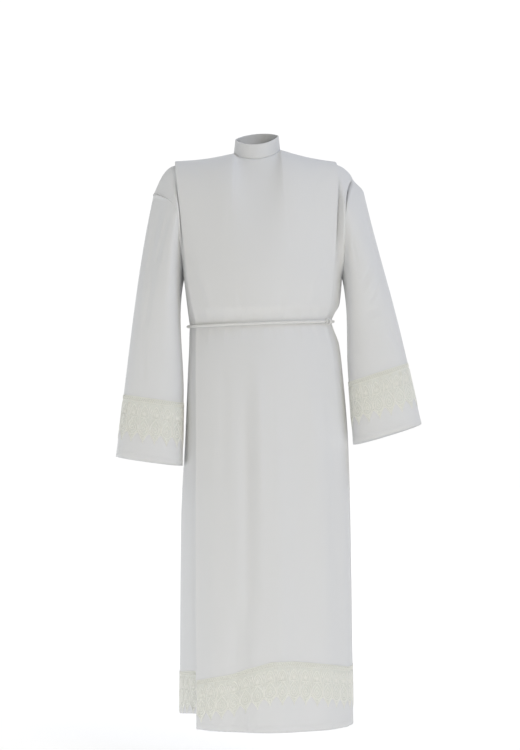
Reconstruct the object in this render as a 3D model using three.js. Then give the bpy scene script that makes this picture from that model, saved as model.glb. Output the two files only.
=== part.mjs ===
// An alb, the long white robe of a vested wearer, with the cord that girds it. It keeps the form it has
// when worn: hollow, with the neck, the cuffs and the hem open, and nothing inside.
// Millimetres, +Z up. The wearer faces -Y. Left and right are as seen from the front, so left is -X.
// The origin is the middle of the neck opening, at the level where the collar is sewn on.
import * as THREE from "three";

// Cloth and sewing
const clothWall = 2;
const seamGap = 0.6;
const laceWall = 1;
const laceGap = 0.6;

// Heights
const hemZ = -1390;
const underarmZ = -300;
const girdleZ = -415;

// The girdle climbs to the right, and the cloth that it gathers climbs with it
const girdleTilt = 0.036;
const girdleReach = 120;

// The pleat beside each front and back panel: three layers, folded like a Z.
// Bend is the radius of its two folds, and inner is how far across the panel the hidden fold lies.
const pleatBends = { left: 2.6, right: 1.7 };
const pleatInner = 0.74;

// How far a panel turns round the body, and how long its curve keeps its heading at both ends
const panelTurn = 1.7;
const panelHold = 0.36;

// How the chest and the back rise to the shoulder seam and to the neck: shares of the way up
const shoulderRise = { pace: 2.2, nearDepth: 2.1, farDepth: 3, lift: 4, from: 1.1 };
const neckRun = { pace: 1.2, depth: 0.45, up: 0.9, share: 0.75 };

// How the cloth runs into the armhole: how far it leans out halfway up and at the top, and how fast
// it stops running round the body
const armholeLean = { middle: 0.35, top: 0.45, fade: 1.5 };

// Neck and collar
const neckHalf = 56;
const neckFront = 61;
const neckBack = 58;
const neckZ = 8;
const neckDrop = 22;
const neckRise = 14;
const neckTilt = 0.08;
const neckShare = 0.44;
const neckDip = 1.3;
const shoulderSag = 4;
const collarHeight = 34;
const collarLean = 4;

// The tops of the pleats' outer folds on the shoulders, and how far the folds bow out below them
const foldTops = { left: { x: -198, z: -16 }, right: { x: 190, z: -17 } };
const foldBows = { left: 0, right: 7 };

// The hem of the left side hangs a little higher than the rest
const hemLifts = { left: 22, right: 0 };
const hemLiftZone = 240;

// Beside the pleats the under layers hang higher still, in shares of that lift
const underLift = 1.6;

// Lace bands
const lacePoint = 19.5;
const lacePitch = 29.5;
const hemLaceHeight = 100;
const cuffLaceHeight = 107;
const cuffLaceRise = 46;
const cuffLength = 166;

// The girdle's cord and its knot
const cordRadius = 3.6;
const cordClearance = 0.35;
const cordSides = 10;
const cordTurn = 0.5;
const knotX = 172;

// Reaches along a seam that are closer than this are one
const sameReach = 2;

// A table is a list of column names and one row of numbers for each section
const table = (columns, rows) => ({
  columns,
  rows: rows.map((row) => Object.fromEntries(columns.map((name, i) => [name, row[i]]))),
});

// The pleat from its outer fold to the under layer: how far it has gone towards the hidden fold, how
// deep it lies and how far out it swings, both in bends, and its share of the hem's lift
const pleatWay = table(["inward", "depth", "out", "lift"], [
  [0, 1, 1, 0], [0, 2, 0, 0], [0.5, 2, 0, 0], [1, 2, 0, 0], [1, 3, -1, 0.1], [1, 4, 0, 0.2],
  [0.5, 4, 0, 0.9],
]);

// Level sections of the body, from the hem to the underarm. Fold is where a pleat's outer edge lies.
const levels = table(
  ["z", "midX", "frontY", "backY", "frontFoldLX", "frontFoldLY", "frontFoldRX", "frontFoldRY",
   "backFoldLX", "backFoldLY", "backFoldRX", "backFoldRY", "sideLX", "sideLY", "sideRX", "sideRY"],
  [
    [-1390, 25, -185, 186, -144, -116, 220, -74, -150, 118, 196, 116, -190, 24, 236, 14],
    [-900, 21, -162, 164, -148, -104, 211, -66, -148, 106, 188, 104, -186, 14, 229, 10],
    [-700, 17, -148, 150, -147, -96, 203, -60, -146, 98, 182, 96, -176, 12, 223, 8],
    [-540, 11, -133, 132, -148, -84, 191, -56, -143, 86, 172, 84, -169, 8, 210, 5],
    [-470, 7, -122, 115, -148, -70, 182, -50, -138, 74, 160, 72, -166, 4, 201, 2],
    [-430, 5, -113, 103, -148, -60, 171, -46, -134, 64, 150, 62, -165, 0, 186, 0],
    [-415, 5, -110, 100, -147, -58, 168, -45, -132, 62, 148, 60, -164, 0, 182, 0],
    [-400, 5, -113, 103, -150, -60, 172, -46, -135, 64, 152, 62, -166, 0, 187, 0],
    [-370, 4, -126, 116, -157, -68, 180, -54, -144, 74, 163, 72, -170, 0, 202, 0],
    [-300, 3, -131, 126, -169, -74, 186, -62, -158, 80, 172, 78, -178, 0, 208, 0],
  ],
);

// The armholes' front edges, from the underarm to the top of the shoulder. The back ones mirror them.
const armholeColumns = ["x", "y", "z"];
const armholes = {
  left: table(armholeColumns, [
    [-178, 0, -300], [-182, -36, -268], [-187, -60, -214], [-191, -70, -164],
    [-196, -71, -136], [-208, -59, -118], [-228, -33, -104], [-252, 0, -95],
  ]),
  right: table(armholeColumns, [
    [208, 0, -300], [212, -36, -266], [213, -60, -212], [214, -68, -160],
    [215, -64, -122], [218, -50, -98], [224, -28, -76], [233, 0, -57],
  ]),
};
const armholeBackDepth = 1.04;
const armholePace = 1.6;

// The cuffs' edges, and the sections where the cuffs' straight parts begin: middle, half width,
// half depth, how far the outer edge is above the middle, and how far the back is below the front
const cuffColumns = ["x", "y", "z", "halfWidth", "halfDepth", "rise", "backDrop"];
const cuffs = {
  left: table(cuffColumns, [[-261.5, -50, -748, 80.5, 57, 11, 6], [-250.5, -38, -581, 71.5, 56, 10, 5]]),
  right: table(cuffColumns, [[318, -24, -683, 83, 58, 25, 8], [293.5, -18, -517, 70.5, 57, 22, 7]]),
};
const cuffRoundness = 2.3;

// How the sleeves' lines leave the armhole, beyond the straight way to the cuff, and how far the cloth
// rounds out over the top of the arm within a share of the sleeve's length
const sleeveBulges = table(["side", "outTop", "outInner", "front", "up", "crown"], [
  [-1, 35, 60, 30, 0, 0],
  [1, 0, 40, 30, 41, 20],
]);
const crownShare = 0.09;

// Soft folds: at is the place across a panel, from -1 at the left fold to 1 at the right one.
// A fold starts at topZ, has its full depth at fullZ and is gone at endZ.
const softFolds = table(
  ["face", "at", "width", "depth", "topZ", "fullZ", "endZ"],
  [
    [-1, -0.05, 0.09, 7, -470, -620, -1180],
    [-1, -0.24, 0.11, -9, -480, -760, -9000],
    [-1, -0.72, 0.18, 5, -700, -1000, -9000],
    [-1, 0.36, 0.18, -5, -480, -800, -9000],
    [-1, 0.7, 0.16, 5, -480, -700, -9000],
    [1, -0.62, 0.13, 9, -450, -800, -9000],
    [1, -0.36, 0.12, -8, -450, -800, -9000],
    [1, -0.06, 0.14, 11, -450, -760, -9000],
    [1, 0.22, 0.12, -9, -450, -760, -9000],
    [1, 0.52, 0.15, 10, -450, -800, -9000],
    [1, 0.8, 0.12, -7, -450, -800, -9000],
  ],
);

// Folds of the sleeves: at is the share of the turn round the sleeve, from the underarm over the front.
// A fold runs from start to end along the sleeve and is fullest between them.
const sleeveFolds = table(
  ["side", "at", "width", "depth", "start", "end"],
  [
    [-1, 0.36, 0.06, -7, 0, 0.5],
    [-1, 0.22, 0.07, 4, 0.05, 0.7],
    [-1, 0.7, 0.07, -8, 0.03, 0.7],
    [1, 0.28, 0.07, 5, 0.05, 0.7],
    [1, 0.42, 0.06, -6, 0.08, 0.65],
    [1, 0.7, 0.07, -8, 0.03, 0.7],
  ],
);

// Height of the hem lace's points over the hem, across the front and the back from -1 to 1
const laceRises = table(["at", "rise"], [
  [-1, 17], [-0.8, 26], [-0.55, 36], [-0.3, 53], [-0.05, 68], [0.2, 69], [0.6, 59], [1, 46],
]);
const sideLaceRises = { left: 3, right: 44 };
const sideLaceInset = 7;

// Rows of each panel up to the underarm, rows from there to the shoulder, and columns of each part.
// The lace lies within the lowest row of a panel or a sleeve, where the cloth is straight.
const panelLevels = [
  -1390, -1216, -1080, -940, -800, -670, -560, -490, -446, -426, -415, -404, -388, -360, -330,
];
const shoulderRows = 8;
const neckColumns = 5;
const shoulderColumns = 4;
const sideColumns = 4;
const sleeveShares = [0, 0.05, 0.13, 0.24, 0.37, 0.52, 0.7, 1];

const vec = (x, y, z) => new THREE.Vector3(x, y, z);
const mix = (a, b, t) => a + (b - a) * t;
const clamp01 = (t) => Math.min(1, Math.max(0, t));
const smooth = (t) => clamp01(t) ** 2 * (3 - 2 * clamp01(t));
const nameOf = (side) => (side < 0 ? "left" : "right");
const bump = (distance, width) => Math.exp(-((distance / width) ** 2));

function hermite(a, b, startSlope, endSlope, t) {
  const t2 = t * t;
  const t3 = t2 * t;
  return a * (2 * t3 - 3 * t2 + 1) + b * (3 * t2 - 2 * t3)
    + startSlope * (t3 - 2 * t2 + t) + endSlope * (t3 - t2);
}

function hermitePoint(a, b, startSlope, endSlope, t) {
  const along = (axis) => hermite(a[axis], b[axis], startSlope[axis], endSlope[axis], t);
  return vec(along("x"), along("y"), along("z"));
}

// A smooth curve through a table's column that never passes its neighbours' values
function columnCurve({ rows }, key, column) {
  const xs = rows.map((row) => row[key]);
  const ys = rows.map((row) => row[column]);
  const slopes = xs.slice(1).map((x, i) => (ys[i + 1] - ys[i]) / (x - xs[i]));
  const tangents = xs.map((_, i) => {
    const before = slopes[Math.max(0, i - 1)];
    const after = slopes[Math.min(slopes.length - 1, i)];
    return before * after <= 0 ? 0 : (2 * before * after) / (before + after);
  });
  return (at) => {
    let i = 0;
    while (i < xs.length - 2 && at > xs[i + 1]) i++;
    const h = xs[i + 1] - xs[i];
    return hermite(ys[i], ys[i + 1], tangents[i] * h, tangents[i + 1] * h, clamp01((at - xs[i]) / h));
  };
}

const level = Object.fromEntries(
  levels.columns.slice(1).map((name) => [name, columnCurve(levels, "z", name)]),
);
const laceRise = columnCurve(laceRises, "at", "rise");
const armholeCurves = Object.fromEntries(
  Object.entries(armholes).map(([name, { rows }]) => [
    name,
    new THREE.CatmullRomCurve3(rows.map(({ x, y, z }) => vec(x, y, z)), false, "centripetal"),
  ]),
);

// How far the cloth at a height is shifted up: it follows the girdle near it, and the hem's lift
function shiftUp(side, share, x, z) {
  const nearGirdle = smooth(1 - Math.abs(z - girdleZ) / girdleReach);
  const nearHem = clamp01(1 - (z - hemZ) / hemLiftZone);
  return girdleTilt * x * nearGirdle + hemLifts[nameOf(side)] * share * nearHem;
}

// How far the soft folds move a panel out, at a place across it and a height
function foldDepth(face, at, z) {
  return softFolds.rows
    .filter((fold) => fold.face === face)
    .reduce((depth, fold) => {
      const fadeIn = smooth((z - fold.topZ) / (fold.fullZ - fold.topZ));
      const fadeOut = 1 - smooth((z - fold.fullZ) / (fold.endZ - fold.fullZ));
      return depth + fold.depth * bump(at - fold.at, fold.width) * fadeIn * fadeOut;
    }, 0);
}

// The outer layer of a panel below the underarm. f runs from the middle, 0, to the pleat's fold, 1.
// Face is -1 for the front and 1 for the back, side -1 for left and 1 for right.
function outerLow(face, side, f, z, lift = 0) {
  const name = face < 0 ? "front" : "back";
  const fold = name + "Fold" + (side < 0 ? "L" : "R");
  const mid = new THREE.Vector2(level.midX(z), level[name + "Y"](z));
  const edge = new THREE.Vector2(level[fold + "X"](z), level[fold + "Y"](z));
  const reach = edge.clone().sub(mid);
  const turn = panelTurn * Math.atan2(Math.abs(reach.y), Math.abs(reach.x));
  const heading = new THREE.Vector2(side * Math.cos(turn), -face * Math.sin(turn));
  const handle = panelHold * reach.length();
  const curve = new THREE.CubicBezierCurve(
    mid,
    mid.clone().add(new THREE.Vector2(side * handle, 0)),
    edge.clone().addScaledVector(heading, -handle),
    edge,
  );
  const point = curve.getPoint(f);
  const ahead = curve.getTangent(f);
  const depth = foldDepth(face, side * f, z);
  const x = point.x - face * side * ahead.y * depth;
  const y = point.y + face * side * ahead.x * depth;
  return vec(x, y, z + shiftUp(side, Math.max(lift, face > 0 ? f * f : 0), x, z));
}

// The neckline, where the collar is sewn on: turn 0 is the middle of the face, 1 the side of the neck
function necklinePoint(face, side, turn) {
  const angle = (turn * Math.PI) / 2;
  const x = side * neckHalf * Math.sin(angle);
  const y = face * (face < 0 ? neckFront : neckBack) * Math.cos(angle);
  const drop = (face < 0 ? -neckDrop : neckRise) * Math.cos(angle) ** neckDip;
  const z = neckZ + neckTilt * x;
  return turn === 1 ? vec(x, 0, z) : vec(x, y, z + drop);
}

// The panel's top edge: half of the neckline, then the shoulder seam out to the pleat's fold
function topEdge(face, side, f) {
  if (f <= neckShare) return necklinePoint(face, side, f / neckShare);
  const g = (f - neckShare) / (1 - neckShare);
  const neck = necklinePoint(face, side, 1);
  const { x, z } = foldTops[nameOf(side)];
  return vec(mix(neck.x, x, g), 0, mix(neck.z, z, g) - shoulderSag * Math.sin(Math.PI * g));
}

// The outer layer over the chest or the back, from the underarm level, t 0, to the top edge, t 1
function outerHigh(face, side, f, t) {
  const base = outerLow(face, side, f, underarmZ);
  const top = topEdge(face, side, f);
  const way = top.clone().sub(base);
  const shoulder = smooth(f / (neckShare * shoulderRise.from));
  const pace = mix(neckRun.pace, shoulderRise.pace, shoulder);
  const baseSlope = vec(way.x * pace, 0, way.z * pace);
  const overNeck = vec(0, -face * neckRun.depth, neckRun.up).multiplyScalar(neckRun.share * way.z);
  const { nearDepth, farDepth, lift } = shoulderRise;
  const overShoulder = vec(0, mix(nearDepth, farDepth, f) * way.y, lift);
  const point = hermitePoint(base, top, baseSlope, overNeck.lerp(overShoulder, shoulder), t);
  point.x += foldBows[nameOf(side)] * Math.sin(Math.PI * t) * f * f;
  return point;
}

// Height along a panel: 0 to 1 from the hem to the underarm, 1 to 2 from there to the top edge
function outerPoint(face, side, f, v, lift) {
  return v <= 1
    ? outerLow(face, side, f, mix(hemZ, underarmZ, v), lift)
    : outerHigh(face, side, f, v - 1);
}

// Where the panel ends at the side: at the side seam, and above the underarm at the armhole
function sidePoint(face, side, v) {
  const letter = side < 0 ? "L" : "R";
  if (v <= 1) {
    const z = mix(hemZ, underarmZ, v);
    const x = level["side" + letter + "X"](z);
    return vec(x, level["side" + letter + "Y"](z), z + shiftUp(side, 1, x, z));
  }
  const point = armholeCurves[nameOf(side)].getPoint(1 - (2 - v) ** armholePace);
  if (v === 2) point.y = 0;
  return face < 0 ? point : vec(point.x, -point.y * armholeBackDepth, point.z);
}

// The way that the cloth runs where it reaches the side seam or the armhole
function sideHeading(face, side, v) {
  const t = clamp01(v - 1);
  const out = armholeLean.middle * Math.sin(Math.PI * t) + armholeLean.top * t;
  return vec(side * out, -face * (1 - t) ** armholeLean.fade, -t).normalize();
}

// The way that a panel's outer layer runs at f, away from the middle, and its outward normal
function outerFrame(face, side, f, v, lift) {
  const step = 0.004;
  const here = outerPoint(face, side, f, v, lift);
  const across = here.clone().sub(outerPoint(face, side, f - step, v, lift)).normalize();
  if (v === 2) return { here, across, normal: vec(-side * across.z, 0, side * across.x).normalize() };
  const up = v > 1.5
    ? here.clone().sub(outerPoint(face, side, f, v - step, lift))
    : outerPoint(face, side, f, v + step, lift).sub(here);
  return { here, across, normal: across.clone().cross(up).multiplyScalar(-face * side).normalize() };
}

// Half of a panel at one height, from the middle to the side: outer layer, pleat, under layer
function halfRow(face, side, v) {
  const bend = pleatBends[nameOf(side)];
  const layer = ({ inward, depth, out, lift }) => {
    const { here, across, normal } = outerFrame(face, side, mix(1, pleatInner, inward), v, lift);
    return here.addScaledVector(normal, -depth * bend).addScaledVector(across, out * bend);
  };
  const row = [];
  for (let i = 0; i <= neckColumns; i++) row.push(outerPoint(face, side, (neckShare * i) / neckColumns, v));
  for (let i = 1; i <= shoulderColumns; i++)
    row.push(outerPoint(face, side, mix(neckShare, 1, i / shoulderColumns), v));
  row.push(...pleatWay.rows.map(layer));
  const start = layer({ inward: 0, depth: 4, out: 0, lift: underLift });
  const { across } = outerFrame(face, side, 1, v, underLift);
  const end = sidePoint(face, side, v);
  const length = start.distanceTo(end);
  const endSlope = sideHeading(face, side, v).multiplyScalar(length);
  for (let i = 0; i <= sideColumns; i++)
    row.push(hermitePoint(start, end, across.clone().multiplyScalar(length), endSlope, i / sideColumns));
  return row;
}

// The middle of a panel's cloth: rows from the hem up, each running so that the outer side is outside
function panelGrid(face) {
  const heights = panelLevels.map((z) => (z - hemZ) / (underarmZ - hemZ));
  for (let i = 0; i <= shoulderRows; i++) heights.push(1 + i / shoulderRows);
  return heights.map((v) => {
    const row = [...halfRow(face, -1, v).reverse(), ...halfRow(face, 1, v).slice(1)];
    return face < 0 ? row : row.reverse();
  });
}

// A cuff's section, at a share of the turn from the inner side over the front
function cuffPoint({ x, y, z, halfWidth, halfDepth, rise, backDrop }, side, turn) {
  const angle = turn * 2 * Math.PI;
  const round = (value) => Math.sign(value) * Math.abs(value) ** (2 / cuffRoundness);
  const inward = round(Math.cos(angle));
  const forward = round(Math.sin(angle));
  return vec(x - side * halfWidth * inward, y - halfDepth * forward,
    z - rise * inward - backDrop * Math.max(0, -forward));
}

// The middle of a sleeve's cloth: rows from the cuff up to the armhole, closed round the arm
function sleeveGrid(side) {
  const around = 2 * shoulderRows;
  const bulge = sleeveBulges.rows.find((row) => row.side === side);
  const [edge, head] = cuffs[nameOf(side)].rows;
  const rows = sleeveShares.map((s) => {
    const ring = [];
    for (let k = 0; k < around; k++) {
      const turn = k / around;
      const start = k <= shoulderRows
        ? sidePoint(-1, side, 1 + k / shoulderRows)
        : sidePoint(1, side, 1 + (around - k) / shoulderRows);
      const end = cuffPoint(head, side, turn);
      const way = end.clone().sub(start);
      const topness = Math.sin(Math.PI * turn) ** 2;
      const startSlope = way.clone().add(vec(
        side * mix(bulge.outInner, bulge.outTop, topness),
        -bulge.front * Math.sin(2 * Math.PI * turn),
        bulge.up * topness,
      ));
      const endSlope = cuffPoint(edge, side, turn).sub(end).multiplyScalar(way.length() / cuffLength);
      const crown = bulge.crown * topness * smooth(s / crownShare) * (1 - s) ** 2;
      ring.push(hermitePoint(start, end, startSlope, endSlope, s).add(vec(side * crown, 0, 0)));
    }
    const middle = ring.reduce((sum, point) => sum.add(point), vec(0, 0, 0)).divideScalar(around);
    return ring.map((point, k) => {
      const depth = sleeveFolds.rows
        .filter((fold) => fold.side === side && s > fold.start && s < fold.end)
        .reduce((sum, fold) => {
          const share = (s - fold.start) / (fold.end - fold.start);
          return sum + fold.depth * bump(k / around - fold.at, fold.width) * Math.sin(Math.PI * share);
        }, 0);
      const out = vec(point.x - middle.x, point.y - middle.y, 0).normalize();
      return point.addScaledVector(out, depth);
    });
  });
  rows.push([...Array(around).keys()].map((k) => cuffPoint(edge, side, k / around)));
  return rows.reverse().map((ring) => (side < 0 ? ring.reverse() : ring));
}

// The middle of the collar's cloth: a stand-up band on the neckline, closed round the neck
function collarGrid() {
  const ring = [];
  for (let i = -neckColumns; i < neckColumns; i++)
    ring.push({ face: -1, side: i < 0 ? -1 : 1, turn: Math.abs(i) / neckColumns });
  for (let i = neckColumns; i > -neckColumns; i--)
    ring.push({ face: 1, side: i < 0 ? -1 : 1, turn: Math.abs(i) / neckColumns });
  return [0, 0.5, 1].map((share) => ring.map(({ face, side, turn }) => {
    const point = necklinePoint(face, side, turn);
    const inward = vec(-point.x, -point.y, 0).normalize();
    return point.addScaledVector(inward, collarLean * share).add(vec(0, 0, collarHeight * share));
  }));
}

// A piece of cloth: its grid of points, and the outward normal at each of them
function cloth(rows, closed, family) {
  const count = rows[0].length;
  const normals = rows.map((row) => row.map(() => vec(0, 0, 0)));
  for (let i = 0; i + 1 < rows.length; i++) {
    for (let j = 0; j < (closed ? count : count - 1); j++) {
      const next = (j + 1) % count;
      const rising = rows[i + 1][next].clone().sub(rows[i][j]);
      const falling = rows[i + 1][j].clone().sub(rows[i][next]);
      const normal = rising.cross(falling).normalize();
      for (const [row, column] of [[i, j], [i, next], [i + 1, j], [i + 1, next]])
        normals[row][column].add(normal);
    }
  }
  normals.flat().forEach((normal) => normal.normalize());
  return { rows, normals, closed, family };
}

const isEdge = ({ rows, closed }, i, j) =>
  i === 0 || i === rows.length - 1 || (!closed && (j === 0 || j === rows[0].length - 1));

// Where pieces are sewn together they share one normal, and each is drawn back by half the seam's gap
function sewTogether(pieces) {
  const keyOf = ({ x, y, z }) => [x, y, z].map((value) => value.toFixed(2)).join(" ");
  const seams = new Map();
  for (const piece of pieces) {
    piece.rows.forEach((row, i) => row.forEach((point, j) => {
      if (!isEdge(piece, i, j)) return;
      const key = keyOf(point);
      if (!seams.has(key)) seams.set(key, { normals: {}, members: [] });
      const seam = seams.get(key);
      seam.normals[piece.family] ??= vec(0, 0, 0);
      seam.normals[piece.family].add(piece.normals[i][j]);
      seam.members.push({ piece, i, j });
    }));
  }
  for (const { normals, members } of seams.values()) {
    if (new Set(members.map(({ piece }) => piece)).size < 2) continue;
    const shared = vec(0, 0, 0);
    Object.values(normals).forEach((normal) => shared.add(normal.normalize()));
    shared.normalize();
    const moves = members.map(({ piece, i, j }) => {
      const { rows, closed } = piece;
      const here = rows[i][j];
      const inward = vec(0, 0, 0);
      if (i === 0) inward.add(rows[1][j].clone().sub(here).normalize());
      if (i === rows.length - 1) inward.add(rows[i - 1][j].clone().sub(here).normalize());
      if (!closed && j === 0) inward.add(rows[i][1].clone().sub(here).normalize());
      if (!closed && j === rows[0].length - 1) inward.add(rows[i][j - 1].clone().sub(here).normalize());
      return inward.addScaledVector(shared, -inward.dot(shared)).normalize().multiplyScalar(seamGap / 2);
    });
    members.forEach(({ piece, i, j }, index) => {
      piece.rows[i][j] = piece.rows[i][j].clone().add(moves[index]);
      piece.normals[i][j] = shared.clone();
    });
  }
}

// The closed wall round a piece's grid, from inner to outer distance along the normals
function wallGeometry({ rows, normals, closed }, inner, outer) {
  const count = rows[0].length;
  const positions = [];
  const faces = [];
  for (const distance of [outer, inner])
    rows.forEach((row, i) => row.forEach((point, j) =>
      positions.push(point.clone().addScaledVector(normals[i][j], distance))));
  const half = rows.length * count;
  const columns = closed ? count : count - 1;
  const outerAt = (i, j) => i * count + (j % count);
  const innerAt = (i, j) => half + outerAt(i, j);
  const quad = (a, b, c, d) => faces.push([a, b, c], [a, c, d]);
  for (let i = 0; i + 1 < rows.length; i++) {
    for (let j = 0; j < columns; j++) {
      const [a, b, c, d] = [outerAt(i, j), outerAt(i, j + 1), outerAt(i + 1, j + 1), outerAt(i + 1, j)];
      const straight = positions[a].distanceTo(positions[c]) <= positions[b].distanceTo(positions[d]);
      if (straight) {
        quad(a, b, c, d);
        quad(a + half, d + half, c + half, b + half);
      } else {
        quad(b, c, d, a);
        quad(b + half, a + half, d + half, c + half);
      }
    }
  }
  const last = rows.length - 1;
  for (let j = 0; j < columns; j++) {
    quad(outerAt(0, j), innerAt(0, j), innerAt(0, j + 1), outerAt(0, j + 1));
    quad(outerAt(last, j + 1), innerAt(last, j + 1), innerAt(last, j), outerAt(last, j));
  }
  if (!closed) {
    for (let i = 0; i < last; i++) {
      quad(outerAt(i + 1, 0), innerAt(i + 1, 0), innerAt(i, 0), outerAt(i, 0));
      quad(outerAt(i, columns), innerAt(i, columns), innerAt(i + 1, columns), outerAt(i + 1, columns));
    }
  }
  return geometryOf(positions, faces);
}

function geometryOf(positions, faces) {
  const geometry = new THREE.BufferGeometry();
  geometry.setAttribute("position",
    new THREE.Float32BufferAttribute(positions.flatMap(({ x, y, z }) => [x, y, z]), 3));
  geometry.setIndex(faces.flat());
  return geometry;
}

// The stations of a lace band: at each, the foot and the head of the straight lowest row of the cloth
function stations(piece, first, last) {
  const count = piece.rows[0].length;
  const list = [];
  for (let j = first; j <= last; j++)
    list.push([0, 1].map((i) => ({ point: piece.rows[i][j % count], normal: piece.normals[i][j % count] })));
  return list;
}

// The same stations, with the first and the last one drawn in by a length
function trimmed(line, inset) {
  const drawn = (end, next) => end.map((spot, i) => {
    const share = inset / spot.point.distanceTo(next[i].point);
    return {
      point: spot.point.clone().lerp(next[i].point, share),
      normal: spot.normal.clone().lerp(next[i].normal, share).normalize(),
    };
  });
  return [drawn(line[0], line[1]), ...line.slice(1, -1), drawn(line.at(-1), line.at(-2))];
}

// A lace band lying on the cloth: its lower edge has a point at every pitch. riseAt gives the height
// of the points over the cloth's edge at a share of the band's length.
function laceGeometry(line, closed, height, riseAt) {
  const reaches = [0];
  for (let j = 1; j < line.length; j++)
    reaches.push(reaches[j - 1] + line[j][0].point.distanceTo(line[j - 1][0].point));
  const length = reaches.at(-1);
  const points = Math.max(1, Math.round(length / lacePitch));
  const halfPitch = length / points / 2;
  const inside = [...Array(2 * points + 1).keys()].map((k) => {
    const reach = k * halfPitch;
    const near = reaches.find((value) => Math.abs(value - reach) < sameReach);
    return near ?? reach;
  });
  const places = [...new Set([...reaches, ...inside])].sort((a, b) => a - b);
  const zigzag = (reach) => {
    const after = Math.max(1, inside.findIndex((value) => value >= reach));
    const share = (reach - inside[after - 1]) / (inside[after] - inside[after - 1]);
    return after % 2 ? 1 - share : share;
  };
  const columns = places.map((reach) => {
    let j = 1;
    while (j < line.length - 1 && reach > reaches[j]) j++;
    const across = (reach - reaches[j - 1]) / (reaches[j] - reaches[j - 1]);
    const [foot, head] = [0, 1].map((i) => ({
      point: line[j - 1][i].point.clone().lerp(line[j][i].point, across),
      normal: line[j - 1][i].normal.clone().lerp(line[j][i].normal, across),
    }));
    const tall = foot.point.distanceTo(head.point);
    const rise = riseAt(reach / length);
    return [rise + lacePoint * zigzag(reach), rise + height].map((distance) => ({
      point: foot.point.clone().lerp(head.point, distance / tall),
      normal: foot.normal.clone().lerp(head.normal, distance / tall).normalize(),
    }));
  });
  if (closed) columns.pop();
  const near = clothWall / 2 + laceGap;
  return wallGeometry({
    rows: [0, 1].map((i) => columns.map((column) => column[i].point)),
    normals: [0, 1].map((i) => columns.map((column) => column[i].normal)),
    closed,
  }, near, near + laceWall);
}

// The convex outline of points seen from above, counterclockwise
function hullOf(points) {
  const sorted = [...points].sort((a, b) => a.x - b.x || a.y - b.y);
  const turn = (a, b, c) => (b.x - a.x) * (c.y - a.y) - (b.y - a.y) * (c.x - a.x);
  const chain = (list) => list.reduce((hull, point) => {
    while (hull.length > 1 && turn(hull.at(-2), hull.at(-1), point) <= 0) hull.pop();
    return [...hull, point];
  }, []).slice(0, -1);
  return [...chain(sorted), ...chain(sorted.reverse())];
}

// The cord's way round the body: pulled straight over the outermost points of the cloth beneath it
function cordPath(pieces) {
  const row = panelLevels.indexOf(girdleZ);
  const beneath = pieces.flatMap((piece) => piece.rows[row].map((point, j) =>
    point.clone().addScaledVector(piece.normals[row][j], clothWall / 2)));
  const hull = hullOf(beneath);
  const path = [];
  hull.forEach((point, k) => {
    const before = hull.at(k - 1);
    const after = hull[(k + 1) % hull.length];
    const from = Math.atan2(before.x - point.x, point.y - before.y);
    const turn = (Math.atan2(point.x - after.x, after.y - point.y) - from + 4 * Math.PI) % (2 * Math.PI);
    const steps = Math.ceil(turn / cordTurn);
    for (let i = 0; i < steps; i++) {
      const angle = from + (turn * (i + 0.5)) / steps;
      const reach = (cordClearance + cordRadius) / Math.cos(turn / steps / 2);
      const out = vec(Math.cos(angle), Math.sin(angle), 0);
      const { x, y } = point.clone().addScaledVector(out, reach);
      path.push({ point: vec(x, y, girdleZ + girdleTilt * x), out });
    }
  });
  return path;
}

// The knot: three turns of the cord side by side, as the cord's radius along it from the knot's middle
const knotProfile = table(["along", "radius"], [
  [-12, cordRadius], [-10.5, 6], [-7.6, 7.4], [-4.8, 7], [-3.4, 6], [-2, 7.8], [0, 8.6], [2, 7.8],
  [3.4, 6], [4.8, 7], [7.6, 7.4], [10.5, 6], [12, cordRadius],
]);

// The cord's way with the knot's turns in place of the part of it that the knot covers
function tied(path) {
  const place = path.reduce((best, { point }, k) =>
    (point.y < 0 && Math.abs(point.x - knotX) < Math.abs(path[best].point.x - knotX) ? k : best), 0);
  const { point: middle, out } = path[place];
  const along = vec(-out.y, out.x, girdleTilt * -out.y);
  const covered = knotProfile.rows.at(-1).along + cordRadius;
  const round = [...path.slice(place + 1), ...path.slice(0, place)];
  return [
    ...knotProfile.rows.map(({ along: distance, radius }) => ({
      point: middle.clone().addScaledVector(along, distance).addScaledVector(out, radius - cordRadius),
      out,
      radius,
    })),
    ...round.filter(({ point }) => point.distanceTo(middle) > covered),
  ];
}

// The closed tube along a way that goes once round
function cordGeometry(path) {
  const positions = [];
  const faces = [];
  path.forEach(({ point, out, radius = cordRadius }, k) => {
    const next = ((k + 1) % path.length) * cordSides;
    for (let i = 0; i < cordSides; i++) {
      const angle = (i / cordSides) * 2 * Math.PI;
      positions.push(point.clone().addScaledVector(out, radius * Math.cos(angle))
        .add(vec(0, 0, radius * Math.sin(angle))));
      const after = (i + 1) % cordSides;
      faces.push([k * cordSides + i, next + i, next + after]);
      faces.push([k * cordSides + i, next + after, k * cordSides + after]);
    }
  });
  return geometryOf(positions, faces);
}

const finishes = {
  cloth: { color: 0xf1f2f5, roughness: 0.9, metalness: 0 },
  lace: { color: 0xefe9da, roughness: 0.95, metalness: 0 },
  rope: { color: 0xefede4, roughness: 0.7, metalness: 0 },
};

const group = new THREE.Group();
function add(name, finish, geometry) {
  const mesh = new THREE.Mesh(geometry, new THREE.MeshStandardMaterial(finishes[finish]));
  mesh.name = name;
  group.add(mesh);
}

const front = cloth(panelGrid(-1), false, "panel");
const back = cloth(panelGrid(1), false, "panel");
const sleeves = { left: cloth(sleeveGrid(-1), true, "sleeve"), right: cloth(sleeveGrid(1), true, "sleeve") };
const collar = cloth(collarGrid(), true, "collar");
sewTogether([front, back, sleeves.left, sleeves.right, collar]);

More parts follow.
